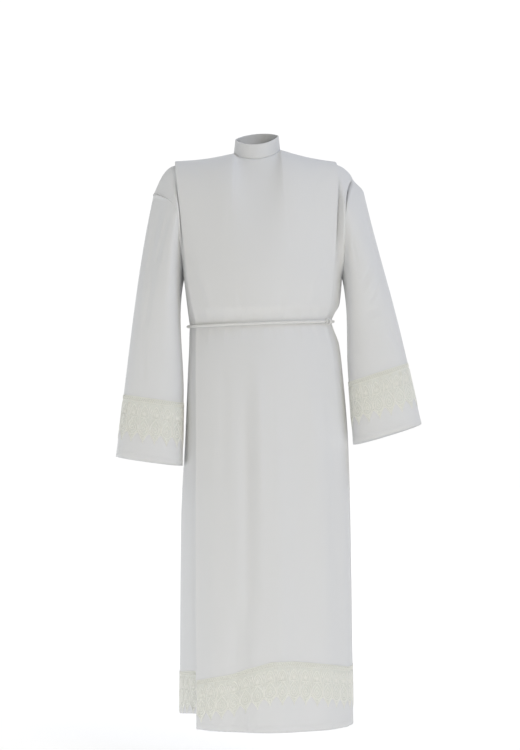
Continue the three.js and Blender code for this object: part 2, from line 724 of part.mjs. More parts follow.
const halfWall = clothWall / 2;
add("front", "cloth", wallGeometry(front, -halfWall, halfWall));
add("back", "cloth", wallGeometry(back, -halfWall, halfWall));
for (const name of ["left", "right"])
  add("sleeve_" + name, "cloth", wallGeometry(sleeves[name], -halfWall, halfWall));
add("collar", "cloth", wallGeometry(collar, -halfWall, halfWall));

// Lace on the cuffs, all round
for (const name of ["left", "right"]) {
  const line = stations(sleeves[name], 0, 2 * shoulderRows);
  add("cuff_lace_" + name, "lace", laceGeometry(line, true, cuffLaceHeight, () => cuffLaceRise));
}

// Lace on the hem: on the outer layer of the front and the back, and on both sides between the pleats
const sideCount = sideColumns + 1;
const outerFirst = sideCount + pleatWay.rows.length;
const outerLast = outerFirst + 2 * (neckColumns + shoulderColumns);
const panelLast = front.rows[0].length - 1;
add("hem_lace_front", "lace", laceGeometry(
  stations(front, outerFirst, outerLast), false, hemLaceHeight, (share) => laceRise(2 * share - 1),
));
add("hem_lace_back", "lace", laceGeometry(
  stations(back, outerFirst, outerLast), false, hemLaceHeight, (share) => laceRise(1 - 2 * share),
));
add("hem_lace_left", "lace", laceGeometry(
  trimmed([...stations(back, panelLast - sideColumns, panelLast - 1), ...stations(front, 0, sideColumns)],
    sideLaceInset), false, hemLaceHeight, () => sideLaceRises.left,
));
add("hem_lace_right", "lace", laceGeometry(
  trimmed([...stations(front, panelLast - sideColumns, panelLast - 1), ...stations(back, 0, sideColumns)],
    sideLaceInset), false, hemLaceHeight, () => sideLaceRises.right,
));

add("cincture", "rope", cordGeometry(tied(cordPath([front, back]))));

export default group;
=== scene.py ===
import math

import bpy
import numpy as np
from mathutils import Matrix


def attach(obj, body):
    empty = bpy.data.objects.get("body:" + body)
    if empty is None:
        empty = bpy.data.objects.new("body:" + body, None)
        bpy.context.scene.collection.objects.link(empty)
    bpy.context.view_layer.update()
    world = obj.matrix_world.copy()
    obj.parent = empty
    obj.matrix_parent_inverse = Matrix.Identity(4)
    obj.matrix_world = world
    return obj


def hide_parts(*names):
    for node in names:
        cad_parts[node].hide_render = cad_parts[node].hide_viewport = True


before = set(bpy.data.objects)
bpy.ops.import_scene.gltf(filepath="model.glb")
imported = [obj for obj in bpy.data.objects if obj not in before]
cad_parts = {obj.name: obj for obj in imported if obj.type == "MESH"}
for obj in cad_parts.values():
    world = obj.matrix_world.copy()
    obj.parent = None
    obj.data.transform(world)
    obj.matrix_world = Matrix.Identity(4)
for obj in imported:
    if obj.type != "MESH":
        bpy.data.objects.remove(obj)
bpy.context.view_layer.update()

MM = 0.001
BODY = "root"
SIDES = ((-1, "left"), (1, "right"))

# Photograph's frame and view
PHOTO_HEIGHT = 750
MM_PER_PIXEL = 2.45
CAMERA_DISTANCE = 6000.0
CENTRE_X, CENTRE_Z = 7.35, -539.0
SENSOR = 36.0

# Light: a white wall behind the alb, a dimmer ceiling, and a floor that glows. Axis, start, full, strength.
STUDIO_WALLS = (("Y", 0.55, 0.95, 1.02), ("Z", 0.0, 0.9, 0.62))
FLOOR_GLOWS = (("Y", -2.5, -0.5, 0.41), ("Y", 0.4, 3.4, 0.22))
# name, place, target, size, power in watts, colour
LIGHTS = (
    ("key", (2.2, -3.8, 0.9), (0, 0, -0.6), 1.8, 44, (1, 0.93, 0.76)),
    ("fill", (-2.6, -3.2, -0.9), (0, 0, -0.8), 1.8, 20, (1, 0.98, 0.9)),
    ("left", (-3.2, 0.4, 0.2), (0, 0, -0.5), 1.6, 14, (0.9, 0.95, 1)),
    ("high", (2.4, -1.6, 2.4), (0, 0, -0.4), 1.6, 30, (0.58, 0.7, 1)),
)

# Cloth, the same form as the solids, with a thinner wall
CLOTH = 0.9
HEM_Z = -1390.0
UNDERARM_Z = -300.0
GIRDLE_Z = -415.0
GIRDLE_TILT = 0.036
GIRDLE_REACH = 120.0
PLEAT_BENDS = {-1: 2.6, 1: 1.7}
PLEAT_INNER = 0.74
NECK_HALF = 56.0
NECK_FRONT = 61.0
NECK_BACK = 58.0
NECK_Z = 8.0
NECK_DROP = 22.0
NECK_RISE = 14.0
NECK_TILT = 0.08
NECK_SHARE = 0.44
COLLAR_HEIGHT = 34.0
COLLAR_LEAN = 4.0
FOLD_TOPS = {-1: (-198.0, -16.0), 1: (190.0, -17.0)}
FOLD_BOWS = {-1: 0.0, 1: 7.0}
HEM_LIFTS = {-1: 22.0, 1: 0.0}
HEM_LIFT_ZONE = 240.0
# Shares of the hem's lift: at the pleat's inner fold, where the under layer starts, and where it ends
PLEAT_LIFTS = (0.1, 0.2, 1.6)

# How far a panel turns round the body, and how long its curve keeps its heading at both ends
PANEL_TURN = 1.7
PANEL_HOLD = 0.36
# How the cloth rises over the chest and the back, to the neck and to the shoulder seam
CHEST_PACE = 0.8
NECK_DIP = 1.3
NECK_PACE = 1.2
NECK_RUN = (0.45, 0.9)
NECK_RUN_SHARE = 0.75
SHOULDER_PACE = 2.2
SHOULDER_FROM = 1.1
SHOULDER_DEPTHS = (2.1, 3.0)
SHOULDER_LIFT = 4.0
SHOULDER_SAG = 4.0

LEVEL_COLUMNS = (
    "z", "mid_x", "front_y", "back_y", "front_l_x", "front_l_y", "front_r_x", "front_r_y",
    "back_l_x", "back_l_y", "back_r_x", "back_r_y", "side_l_x", "side_l_y", "side_r_x", "side_r_y",
)
LEVELS = np.array([
    (-1390, 25, -185, 186, -144, -116, 220, -74, -150, 118, 196, 116, -190, 24, 236, 14),
    (-900, 21, -162, 164, -148, -104, 211, -66, -148, 106, 188, 104, -186, 14, 229, 10),
    (-700, 17, -148, 150, -147, -96, 203, -60, -146, 98, 182, 96, -176, 12, 223, 8),
    (-540, 11, -133, 132, -148, -84, 191, -56, -143, 86, 172, 84, -169, 8, 210, 5),
    (-470, 7, -122, 115, -148, -70, 182, -50, -138, 74, 160, 72, -166, 4, 201, 2),
    (-430, 5, -113, 103, -148, -60, 171, -46, -134, 64, 150, 62, -165, 0, 186, 0),
    (-415, 5, -110, 100, -147, -58, 168, -45, -132, 62, 148, 60, -164, 0, 182, 0),
    (-400, 5, -113, 103, -150, -60, 172, -46, -135, 64, 152, 62, -166, 0, 187, 0),
    (-370, 4, -126, 116, -157, -68, 180, -54, -144, 74, 163, 72, -170, 0, 202, 0),
    (-300, 3, -131, 126, -169, -74, 186, -62, -158, 80, 172, 78, -178, 0, 208, 0),
], float)

ARMHOLES = {
    -1: np.array([
        (-178, 0, -300), (-182, -36, -268), (-187, -60, -214), (-191, -70, -164),
        (-196, -71, -136), (-208, -59, -118), (-228, -33, -104), (-252, 0, -95),
    ], float),
    1: np.array([
        (208, 0, -300), (212, -36, -266), (213, -60, -212), (214, -68, -160),
        (215, -64, -122), (218, -50, -98), (224, -28, -76), (233, 0, -57),
    ], float),
}
ARMHOLE_BACK_DEPTH = 1.04
ARMHOLE_PACE = 1.6
# How far the cloth leans out at the armhole, halfway up and at the top, and how fast it stops turning
ARMHOLE_LEAN = (0.35, 0.45)
ARMHOLE_FADE = 1.5

# x, y, z, half width, half depth, rise of the outer edge, drop of the back
CUFFS = {
    -1: ((-261.5, -50, -748, 80.5, 57, 11, 6), (-250.5, -38, -581, 71.5, 56, 10, 5)),
    1: ((318, -24, -683, 83, 58, 25, 8), (293.5, -18, -517, 70.5, 57, 22, 7)),
}
CUFF_ROUNDNESS = 2.3
CUFF_LENGTH = 166.0
# out at the top, out at the inner side, forward, up, rounding over the top of the arm
SLEEVE_BULGES = {-1: (35, 60, 30, 0, 0), 1: (0, 40, 30, 41, 20)}
CROWN_SHARE = 0.09

# By face. At, width, depth, top, full, end: the large soft folds of the solids
SOFT_FOLDS = {
    -1: (
        (-0.05, 0.09, 7, -470, -620, -1180), (-0.24, 0.11, -9, -480, -760, -9000),
        (-0.72, 0.18, 5, -700, -1000, -9000), (0.36, 0.18, -5, -480, -800, -9000),
        (0.7, 0.16, 5, -480, -700, -9000),
    ),
    1: (
        (-0.62, 0.13, 9, -450, -800, -9000), (-0.36, 0.12, -8, -450, -800, -9000),
        (-0.06, 0.14, 11, -450, -760, -9000), (0.22, 0.12, -9, -450, -760, -9000),
        (0.52, 0.15, 10, -450, -800, -9000), (0.8, 0.12, -7, -450, -800, -9000),
    ),
}

# By side. At, width, depth, start, end: the large folds of the sleeves
SLEEVE_FOLDS = {
    -1: (
        (0.36, 0.06, -7, 0, 0.5), (0.22, 0.07, 4, 0.05, 0.7),
        (0.7, 0.07, -8, 0.03, 0.7),
    ),
    1: (
        (0.28, 0.07, 5, 0.05, 0.7), (0.42, 0.06, -6, 0.08, 0.65),
        (0.7, 0.07, -8, 0.03, 0.7),
    ),
}

# By face. From at, from z, to at, to z, width in mm, depth in mm: creases, given one by one
CREASES = {
    -1: (
        (-0.9, -40, -0.62, -150, 9, -1.6), (-0.55, -30, -0.5, -260, 16, 1.6),
        (0.56, -30, 0.52, -250, 15, 1.5), (0.92, -60, 0.66, -190, 9, -1.6),
        (0.86, -250, 0.62, -385, 10, 2.2), (-0.86, -260, -0.66, -390, 10, 2.2),
        (0.3, -330, 0.26, -405, 9, -1.8), (-0.28, -320, -0.22, -405, 9, -1.8),
        (0.13, -480, 0.17, -1385, 14, 2.2), (-0.2, -1040, -0.2, -1620, 17, 5.5),
        (-0.36, -1020, -0.47, -1600, 19, -7.0), (-0.26, -1280, -0.24, -1520, 7, 2.4),
        (0.58, -470, 0.62, -900, 15, 1.8), (-0.55, -470, -0.6, -860, 14, -2.0),
        (0.86, -500, 0.84, -1200, 13, -1.8),
    ),
    1: (
        (-0.8, -60, -0.5, -200, 10, -1.6), (0.82, -60, 0.52, -210, 10, -1.6),
        (-0.3, -60, -0.26, -390, 14, 2.0), (0.28, -60, 0.24, -390, 14, 2.0),
        (-0.86, -260, -0.64, -390, 10, 2.4), (0.86, -260, 0.66, -390, 10, 2.4),
        (0.06, -300, 0.04, -410, 9, -2.0), (0.36, -450, 0.4, -1100, 12, -2.4),
        (-0.5, -450, -0.46, -1000, 12, 2.4), (0.68, -450, 0.66, -900, 12, 2.2),
    ),
}

# A crease's soft end as a share of its length, and the half width that places across a panel refer to
CREASE_END = 0.3
CREASE_HALF_WIDTH = 170.0

# Gathers under the cord: height, share of it in the valleys, distance of their full height, and reach
GATHER_DEPTH = 1.7
GATHER_VALLEY = 0.7
GATHER_START = 8.0
GATHER_UP = 46.0
GATHER_DOWN = 62.0
GATHER_FREE = 5.0
GATHERS = {
    -1: (-0.93, -0.79, -0.7, -0.52, -0.41, -0.24, -0.1, 0.06, 0.17, 0.33, 0.47, 0.58, 0.74, 0.83, 0.94),
    1: (-0.92, -0.81, -0.66, -0.54, -0.4, -0.29, -0.14, -0.03, 0.12, 0.26, 0.35, 0.5, 0.63, 0.77, 0.9),
}
GATHER_WIDTH = 0.036

# Sewing: the turned-up edge is thicker up to its row of stitches
TURN_UP = 16.0
TURN_UP_STEP = 0.3
TURN_UP_EDGE = (2.0, 3.0)
TURN_UP_GROOVE = 0.25
TURN_UP_GROOVE_WIDTH = 1.4
TURN_UP_ROWS = (8, 13, 14.5, 16, 17.5, 20)
STITCH_PITCH = 3.6
STITCH_LENGTH = 2.7
STITCH_WIDTH = 0.6
STITCH_HEIGHT = 0.35
STITCH_SINK = 0.05
STITCH_START = 0.12
SEAM_INSET = 4.5
SEAM_COLUMNS = 9
COLLAR_SEAMS = (3.5, 28.0)

# By side. Turn and share at the start, turn and share at the end, width, depth: creases of the sleeves
SLEEVE_CREASES = {
    -1: (
        (0.28, 0.006, 0.56, 0.006, 0.005, 3.2), (0.26, 0.02, 0.31, 0.4, 0.018, -4.2),
        (0.31, 0.36, 0.33, 0.74, 0.022, -3.2), (0.33, 0.72, 0.29, 0.98, 0.016, -2.0),
        (0.4, 0.2, 0.38, 0.62, 0.02, 1.6), (0.14, 0.3, 0.2, 0.52, 0.02, -1.4),
        (0.62, 0.1, 0.56, 0.4, 0.022, -2.0), (0.8, 0.2, 0.72, 0.5, 0.022, 2.0),
        (0.67, 0.5, 0.74, 0.82, 0.02, -2.2),
    ),
    1: (
        (0.16, 0.006, 0.47, 0.006, 0.005, -30.0), (0.22, 0.51, 0.34, 0.43, 0.013, -2.6),
        (0.23, 0.57, 0.35, 0.48, 0.013, 2.0), (0.24, 0.64, 0.37, 0.55, 0.014, -2.8),
        (0.21, 0.67, 0.33, 0.7, 0.012, -1.8), (0.23, 0.73, 0.35, 0.75, 0.013, 1.5),
        (0.34, 0.8, 0.4, 0.95, 0.016, -3.0), (0.17, 0.16, 0.21, 0.42, 0.018, -1.4),
        (0.6, 0.14, 0.66, 0.44, 0.022, -2.0), (0.82, 0.2, 0.76, 0.52, 0.022, 2.0),
        (0.7, 0.54, 0.63, 0.8, 0.02, -2.4),
    ),
}

# Shares of the sleeve's length of the close rows at the armhole, and where the even rows begin
SLEEVE_SEAM_ROWS = (0.0, 0.004, 0.008)
SLEEVE_SEAM_END = 0.012

# Height of the hem lace's points over the hem, from the left fold, -1, to the right one, 1
LACE_RISE_AT = (-1, -0.8, -0.55, -0.3, -0.05, 0.2, 0.6, 1)
LACE_RISES = (17, 26, 36, 53, 68, 69, 59, 46)
LEFT_LACE_RISE = 3.0
RIGHT_LACE_RISE = 44.0
SIDE_INSET = 7.0
LACE_PITCH = 29.5
HEM_LACE_HEIGHT = 100.0
CUFF_LACE_HEIGHT = 107.0
CUFF_LACE_RISE = 46.0
LACE_VALLEY = 0.19
SCALLOP_CURVE = 1.35
NET_OFF = 0.25
NET_ROWS = 14
NET_STEPS = 12
THREAD_OFF = 0.3
THREAD_HEIGHT = 1.1
# A thread's domed section: places across it and their heights, and the ends of a tapered one
THREAD_ACROSS = np.array([-1, -0.55, 0, 0.55, 1.0])
THREAD_DOME = np.array([0, 0.75, 1, 0.75, 0])
TAPER_SPAN = (0.04, 0.97)
TAPER_POWER = 0.7

# The pattern's repeat, in shares of pitch and height. Edge cords: distance from the edge, width.
EDGE_CORDS = ((0.012, 2.2), (0.06, 1.7))
# Rings of the drop: scale, width
DROP_RINGS = ((1.0, 2.2), (0.6, 1.8), (0.22, 2.0))
DROP = {"middle": 0.29, "half_width": 0.46, "bottom": 0.145, "top": 0.56}
DROP_FLANK = 0.55
DROP_NECK = (0.56, 0.3)
# Ring at a point: half width, middle, half height, width
TIP_RING = (0.05, -0.004, 0.014, 1.6)
# Threads: control points, points along the thread, width, whether it tapers, whether it is mirrored
LACE_CURVES = (
    (((0.14, 0.56), (0.0, 0.5), (0.08, 0.4), (0.0, 0.29)), 13, 1.5, False, True),
    (((0.14, 0.56), (0.12, 0.72), (0.5, 0.82)), 11, 2.3, False, True),
    (((0.27, 0.57), (0.26, 0.68), (0.5, 0.755)), 9, 1.4, False, True),
    (((0.14, 0.56), (0.3, 0.53), (0.5, 0.55)), 7, 1.5, False, True),
    (((0.5, 0.58), (0.5, 0.715)), 7, 3.4, True, False),
    (((0.45, 0.58), (0.4, 0.62), (0.37, 0.68)), 6, 3.0, True, True),
    (((0.0, 0.65), (0.09, 0.72), (0.16, 0.85)), 7, 2.6, True, True),
    (((0.0, 0.77), (0.05, 0.81), (0.08, 0.87)), 5, 1.8, True, True),
    (((0, 0.895), (1, 0.895)), 5, 1.3, False, False),
    (((0, 0.99), (1, 0.99)), 5, 1.5, False, False),
)
# The zigzag between the two upper cords: its turns, its heights, its width
ZIGZAG = (5, 0.905, 0.975, 1.0)

# Rope belt
CORD_RADIUS = 3.6
CORD_CLEARANCE = 0.85
CORD_TURN_STEP = 0.06
ROPE_PITCH = 21.0
STRAND_SHARE = 0.51
KNOT_X = 172.0
ROPE_STEP = 1.4
ROPE_SIDES = 24
# The knot's turns: place along the cord, outer radius, thickness of the turn
KNOT_TURNS = ((-5.6, 7.9, 4.6), (0.0, 8.8, 5.2), (5.6, 7.9, 4.6))
KNOT_STEPS = 72
KNOT_TWISTS = 4
KNOT_LEAN = 0.9
KNOT_PHASE = 2.0

# Floor
FLOOR_HALF = 15000.0
FLOOR_Z = -1520.0

# Mesh fineness
OUTER_STEPS = 50
PLEAT_STEPS = 8
BEND_STEPS = 6
SIDE_STEPS = 22
SHOULDER_ROWS = 36
# from, to, rows: the panels' even stretches, close together at the cord
PANEL_STRETCHES = ((-1360, -500, 76), (-500, -370, 26), (-370, -300, 6))
SLEEVE_AROUND = 112
SLEEVE_ROWS = 85
CUFF_ROWS = 20
CUFF_EVEN_FROM = 0.15
COLLAR_AROUND = 120
COLLAR_ROWS = 15
COLLAR_WALL = 1.0
COLLAR_EDGE_STEPS = 7


def smooth(t):
    t = np.clip(t, 0.0, 1.0)
    return t * t * (3 - 2 * t)


def bump(distance, width):
    return np.exp(-((distance / width) ** 2))


def unit(v):
    return v / np.maximum(np.linalg.norm(v, axis=-1, keepdims=True), 1e-9)


def hermite(a, b, start_slope, end_slope, t):
    t = np.asarray(t, float)[..., None]
    t2, t3 = t * t, t * t * t
    return (a * (2 * t3 - 3 * t2 + 1) + b * (3 * t2 - 2 * t3)
            + start_slope * (t3 - 2 * t2 + t) + end_slope * (t3 - t2))


def level_curve(column):
    """A smooth curve through a column of the levels that never passes its neighbours' values."""
    xs, ys = LEVELS[:, 0], LEVELS[:, column]
    slopes = np.diff(ys) / np.diff(xs)
    before, after = np.r_[slopes[0], slopes], np.r_[slopes, slopes[-1]]
    product = before * after
    total = np.where(before + after == 0, 1.0, before + after)
    tangents = np.where(product > 0, 2 * product / total, 0.0)

    def at(z):
        i = int(np.clip(np.searchsorted(xs, z) - 1, 0, len(xs) - 2))
        h = xs[i + 1] - xs[i]
        t = min(1.0, max(0.0, (z - xs[i]) / h))
        return float(hermite(ys[i], ys[i + 1], tangents[i] * h, tangents[i + 1] * h, t)[0])
    return at


level = {name: level_curve(i) for i, name in enumerate(LEVEL_COLUMNS) if name != "z"}


def shift_up(side, share, x, z):
    near_girdle = smooth(1 - abs(z - GIRDLE_Z) / GIRDLE_REACH)
    near_hem = np.clip(1 - (z - HEM_Z) / HEM_LIFT_ZONE, 0, 1)
    return GIRDLE_TILT * x * near_girdle + HEM_LIFTS[side] * share * near_hem


def fold_depth(face, at, z):
    depth = np.zeros_like(at)
    for place, width, deep, top, full, end in SOFT_FOLDS[face]:
        fade = smooth((z - top) / (full - top)) * (1 - smooth((z - full) / (end - full)))
        depth += deep * bump(at - place, width) * fade
    return depth


def outer_low(face, side, f, z, lift=0.0):
    """The outer layer below the underarm, from the middle, f 0, to the pleat's fold, f 1."""
    name = "front" if face < 0 else "back"
    hand = "_l" if side < 0 else "_r"
    mid = np.array([level["mid_x"](z), level[name + "_y"](z)])
    edge = np.array([level[name + hand + "_x"](z), level[name + hand + "_y"](z)])
    reach = edge - mid
    turn = PANEL_TURN * math.atan2(abs(reach[1]), abs(reach[0]))
    heading = np.array([side * math.cos(turn), -face * math.sin(turn)])
    handle = PANEL_HOLD * np.linalg.norm(reach)
    a, b, c, d = mid, mid + [side * handle, 0], edge - handle * heading, edge
    t = f[:, None]
    s = 1 - t
    point = a * s ** 3 + 3 * b * s * s * t + 3 * c * s * t * t + d * t ** 3
    ahead = unit((b - a) * s * s + 2 * (c - b) * s * t + (d - c) * t * t)
    depth = fold_depth(face, side * f, z)
    x = point[:, 0] - face * side * ahead[:, 1] * depth
    y = point[:, 1] + face * side * ahead[:, 0] * depth
    share = np.maximum(lift, f * f if face > 0 else 0.0)
    return np.stack([x, y, z + shift_up(side, share, x, z)], -1)


def neckline(face, side, turn):
    angle = np.asarray(turn, float) * math.pi / 2
    x = side * NECK_HALF * np.sin(angle)
    cosine = np.maximum(np.cos(angle), 0.0)
    cosine = np.where(cosine < 1e-9, 0.0, cosine)
    y = face * (NECK_FRONT if face < 0 else NECK_BACK) * cosine
    drop = -NECK_DROP if face < 0 else NECK_RISE
    return np.stack([x, y, NECK_Z + drop * cosine ** NECK_DIP + NECK_TILT * x], -1)


def top_edge(face, side, f):
    neck = neckline(face, side, np.clip(f / NECK_SHARE, 0, 1))
    g = np.clip((f - NECK_SHARE) / (1 - NECK_SHARE), 0, 1)[:, None]
    x, z = FOLD_TOPS[side]
    sag = -SHOULDER_SAG * np.sin(math.pi * g) * [0, 0, 1]
    return np.where(g > 0, neck + (np.array([x, 0.0, z]) - neck) * g + sag, neck)


def outer_high(face, side, f, t):
    base = outer_low(face, side, f, UNDERARM_Z)
    top = top_edge(face, side, f)
    way = top - base
    shoulder = smooth(f / (NECK_SHARE * SHOULDER_FROM))
    pace = (NECK_PACE + (SHOULDER_PACE - NECK_PACE) * shoulder)[:, None]
    base_slope = way * pace * [1, 0, 1]
    over_neck = np.array([0, -face * NECK_RUN[0], NECK_RUN[1]]) * (NECK_RUN_SHARE * way[:, 2:3])
    depth = SHOULDER_DEPTHS[0] + (SHOULDER_DEPTHS[1] - SHOULDER_DEPTHS[0]) * f
    over_shoulder = np.stack([0 * f, depth * way[:, 1], 0 * f + SHOULDER_LIFT], -1)
    end_slope = over_neck + (over_shoulder - over_neck) * shoulder[:, None]
    point = hermite(base, top, base_slope, end_slope, np.full(len(f), t))
    point[:, 0] += FOLD_BOWS[side] * math.sin(math.pi * t) * f * f
    return point


def outer_point(face, side, f, v, lift=0.0):
    if v <= 1:
        return outer_low(face, side, f, HEM_Z + (UNDERARM_Z - HEM_Z) * v, lift)
    return outer_high(face, side, f, v - 1)


def outer_frame(face, side, f, v, lift=0.0):
    """Points of the outer layer, the way it runs away from the middle, and its outward normal."""
    step = 0.004
    here = outer_point(face, side, f, v, lift)
    across = unit(here - outer_point(face, side, f - step, v, lift))
    if v == 2:
        normal = np.stack([-side * across[:, 2], 0 * f, side * across[:, 0]], -1)
        return here, across, unit(normal)
    if v > 1.5:
        up = here - outer_point(face, side, f, v - step, lift)
    else:
        up = outer_point(face, side, f, v + step, lift) - here
    return here, across, unit(-face * side * np.cross(across, up))


def catmull_rom(points, t):
    """A centripetal curve through points, at shares t of its stretches."""
    spot = t * (len(points) - 1)
    i = min(int(spot), len(points) - 2)
    w = spot - i
    p1, p2 = points[i], points[i + 1]
    p0 = points[i - 1] if i > 0 else 2 * p1 - p2
    p3 = points[i + 2] if i + 2 < len(points) else 2 * p2 - p1
    stretches = ((p0, p1), (p1, p2), (p2, p3))
    d0, d1, d2 = (max(float(np.dot(b - a, b - a)) ** 0.25, 1e-4) for a, b in stretches)
    t1 = ((p1 - p0) / d0 - (p2 - p0) / (d0 + d1) + (p2 - p1) / d1) * d1
    t2 = ((p2 - p1) / d1 - (p3 - p1) / (d1 + d2) + (p3 - p2) / d2) * d1
    return hermite(p1, p2, t1, t2, w)


def side_point(face, side, v):
    hand = "_l" if side < 0 else "_r"
    if v <= 1:
        z = HEM_Z + (UNDERARM_Z - HEM_Z) * v
        x = level["side" + hand + "_x"](z)
        return np.array([x, level["side" + hand + "_y"](z), z + float(shift_up(side, 1, x, z))])
    point = catmull_rom(ARMHOLES[side], 1 - (2 - v) ** ARMHOLE_PACE)
    if v == 2:
        point[1] = 0.0
    return point if face < 0 else point * [1, -ARMHOLE_BACK_DEPTH, 1]


def side_heading(face, side, v):
    t = min(1.0, max(0.0, v - 1))
    out = ARMHOLE_LEAN[0] * math.sin(math.pi * t) + ARMHOLE_LEAN[1] * t
    return unit(np.array([side * out, -face * (1 - t) ** ARMHOLE_FADE, -t]))


def near_line(across, up, a0, u0, a1, u1, width):
    """How near points are to a stroke, from 0 to 1, with soft ends. All in one unit."""
    way = np.array([a1 - a0, u1 - u0], float)
    length = np.linalg.norm(way)
    share = ((across - a0) * way[0] + (up - u0) * way[1]) / length ** 2
    aside = ((across - a0) * way[1] - (up - u0) * way[0]) / length
    return bump(aside, width) * smooth(share / CREASE_END) * smooth((1 - share) / CREASE_END)


def turned_edge(height):
    """Relief of a turned-up edge over its height: a second layer, and the groove of its stitches."""
    inside, width = TURN_UP_EDGE
    step = TURN_UP_STEP * (1 - smooth((height - TURN_UP + inside) / width))
    return step - TURN_UP_GROOVE * bump(height - TURN_UP, TURN_UP_GROOVE_WIDTH)


def crease_depth(face, at, z):
    """Depth of the creases and gathers at places across a panel, at one height."""
    depth = np.zeros_like(at)
    half = CREASE_HALF_WIDTH
    for at0, z0, at1, z1, width, deep in CREASES[face]:
        depth += deep * near_line(at * half, z, at0 * half, z0, at1 * half, z1, width)
    gap = z - GIRDLE_Z
    reach = GATHER_UP if gap > 0 else GATHER_DOWN
    away = max(0.0, abs(gap) - GATHER_FREE)
    fade = smooth(away / GATHER_START) * (1 - smooth(away / reach))
    for k, place in enumerate(GATHERS[face]):
        sign = 1 if k % 2 else -GATHER_VALLEY
        depth += GATHER_DEPTH * sign * fade * bump(at - place, GATHER_WIDTH)
    return depth


def half_row(face, side, v):
    """Half of a panel's row at one height, from the middle to the side."""
    bend = PLEAT_BENDS[side]
    z = HEM_Z + (UNDERARM_Z - HEM_Z) * min(v, 1)
    if v > 1:
        z = UNDERARM_Z * (1 - (v - 1) ** CHEST_PACE)

    def layer(f, depth, out=0.0, lift=0.0):
        f = np.atleast_1d(np.asarray(f, float))
        here, across, normal = outer_frame(face, side, f, v, lift)
        crease = crease_depth(face, side * f, z) + turned_edge(z - HEM_Z)
        depth = np.asarray(depth, float) * bend
        aside = (np.asarray(out, float) * bend)[..., None]
        return here + normal * (crease - depth)[:, None] + across * aside

    angles = np.linspace(0, math.pi, BEND_STEPS + 2)[1:-1]
    shares = np.linspace(1, PLEAT_INNER, PLEAT_STEPS + 1)
    ones = np.ones(BEND_STEPS)
    row = [layer(np.linspace(0, 1, OUTER_STEPS + 1), np.zeros(OUTER_STEPS + 1))]
    row.append(layer(ones, 1 - np.cos(angles), np.sin(angles)))
    row.append(layer(shares, np.full(PLEAT_STEPS + 1, 2.0)))
    fold_lift, first_lift, last_lift = PLEAT_LIFTS
    row.append(layer(ones * PLEAT_INNER, 3 - np.cos(angles), -np.sin(angles), fold_lift))
    lifts = np.linspace(first_lift, last_lift, PLEAT_STEPS + 1)
    for share, lift in zip(shares[::-1], lifts):
        row.append(layer([share], [4.0], 0.0, lift))
    start = row.pop()[0]
    _, across, _ = outer_frame(face, side, np.array([1.0]), v, last_lift)
    end = side_point(face, side, v)
    length = np.linalg.norm(end - start)
    t = np.linspace(0, 1, SIDE_STEPS + 1)
    row.append(hermite(start, end, across[0] * length, side_heading(face, side, v) * length, t))
    return np.concatenate(row)


def panel_heights():
    """Heights of a panel's rows, 0 at the hem, 1 at the underarm and 2 on the shoulder."""
    low = np.concatenate([
        [HEM_Z],
        HEM_Z + np.array(TURN_UP_ROWS),
        *(np.linspace(begin, end, rows, endpoint=False) for begin, end, rows in PANEL_STRETCHES),
        [UNDERARM_Z],
    ])
    high = 1 + np.linspace(0, 1, SHOULDER_ROWS + 1)[1:]
    return [*((low - HEM_Z) / (UNDERARM_Z - HEM_Z)), *high]


def panel_grid(face):
    rows = []
    for v in panel_heights():
        left = half_row(face, -1, v)[::-1]
        right = half_row(face, 1, v)[1:]
        row = np.concatenate([left, right])
        rows.append(row if face < 0 else row[::-1])
    return np.array(rows)


def cuff_point(section, side, turn):
    x, y, z, half_width, half_depth, rise, back_drop = section
    angle = turn * 2 * math.pi

    def rounded(value):
        return np.sign(value) * np.abs(value) ** (2 / CUFF_ROUNDNESS)

    inward, forward = rounded(np.cos(angle)), rounded(np.sin(angle))
    return np.stack([x - side * half_width * inward, y - half_depth * forward,
                     z - rise * inward - back_drop * np.maximum(0, -forward)], -1)


def outward_of(ring):
    """Level directions from a ring's middle through its points."""
    return unit((ring - ring.mean(0)) * [1, 1, 0])


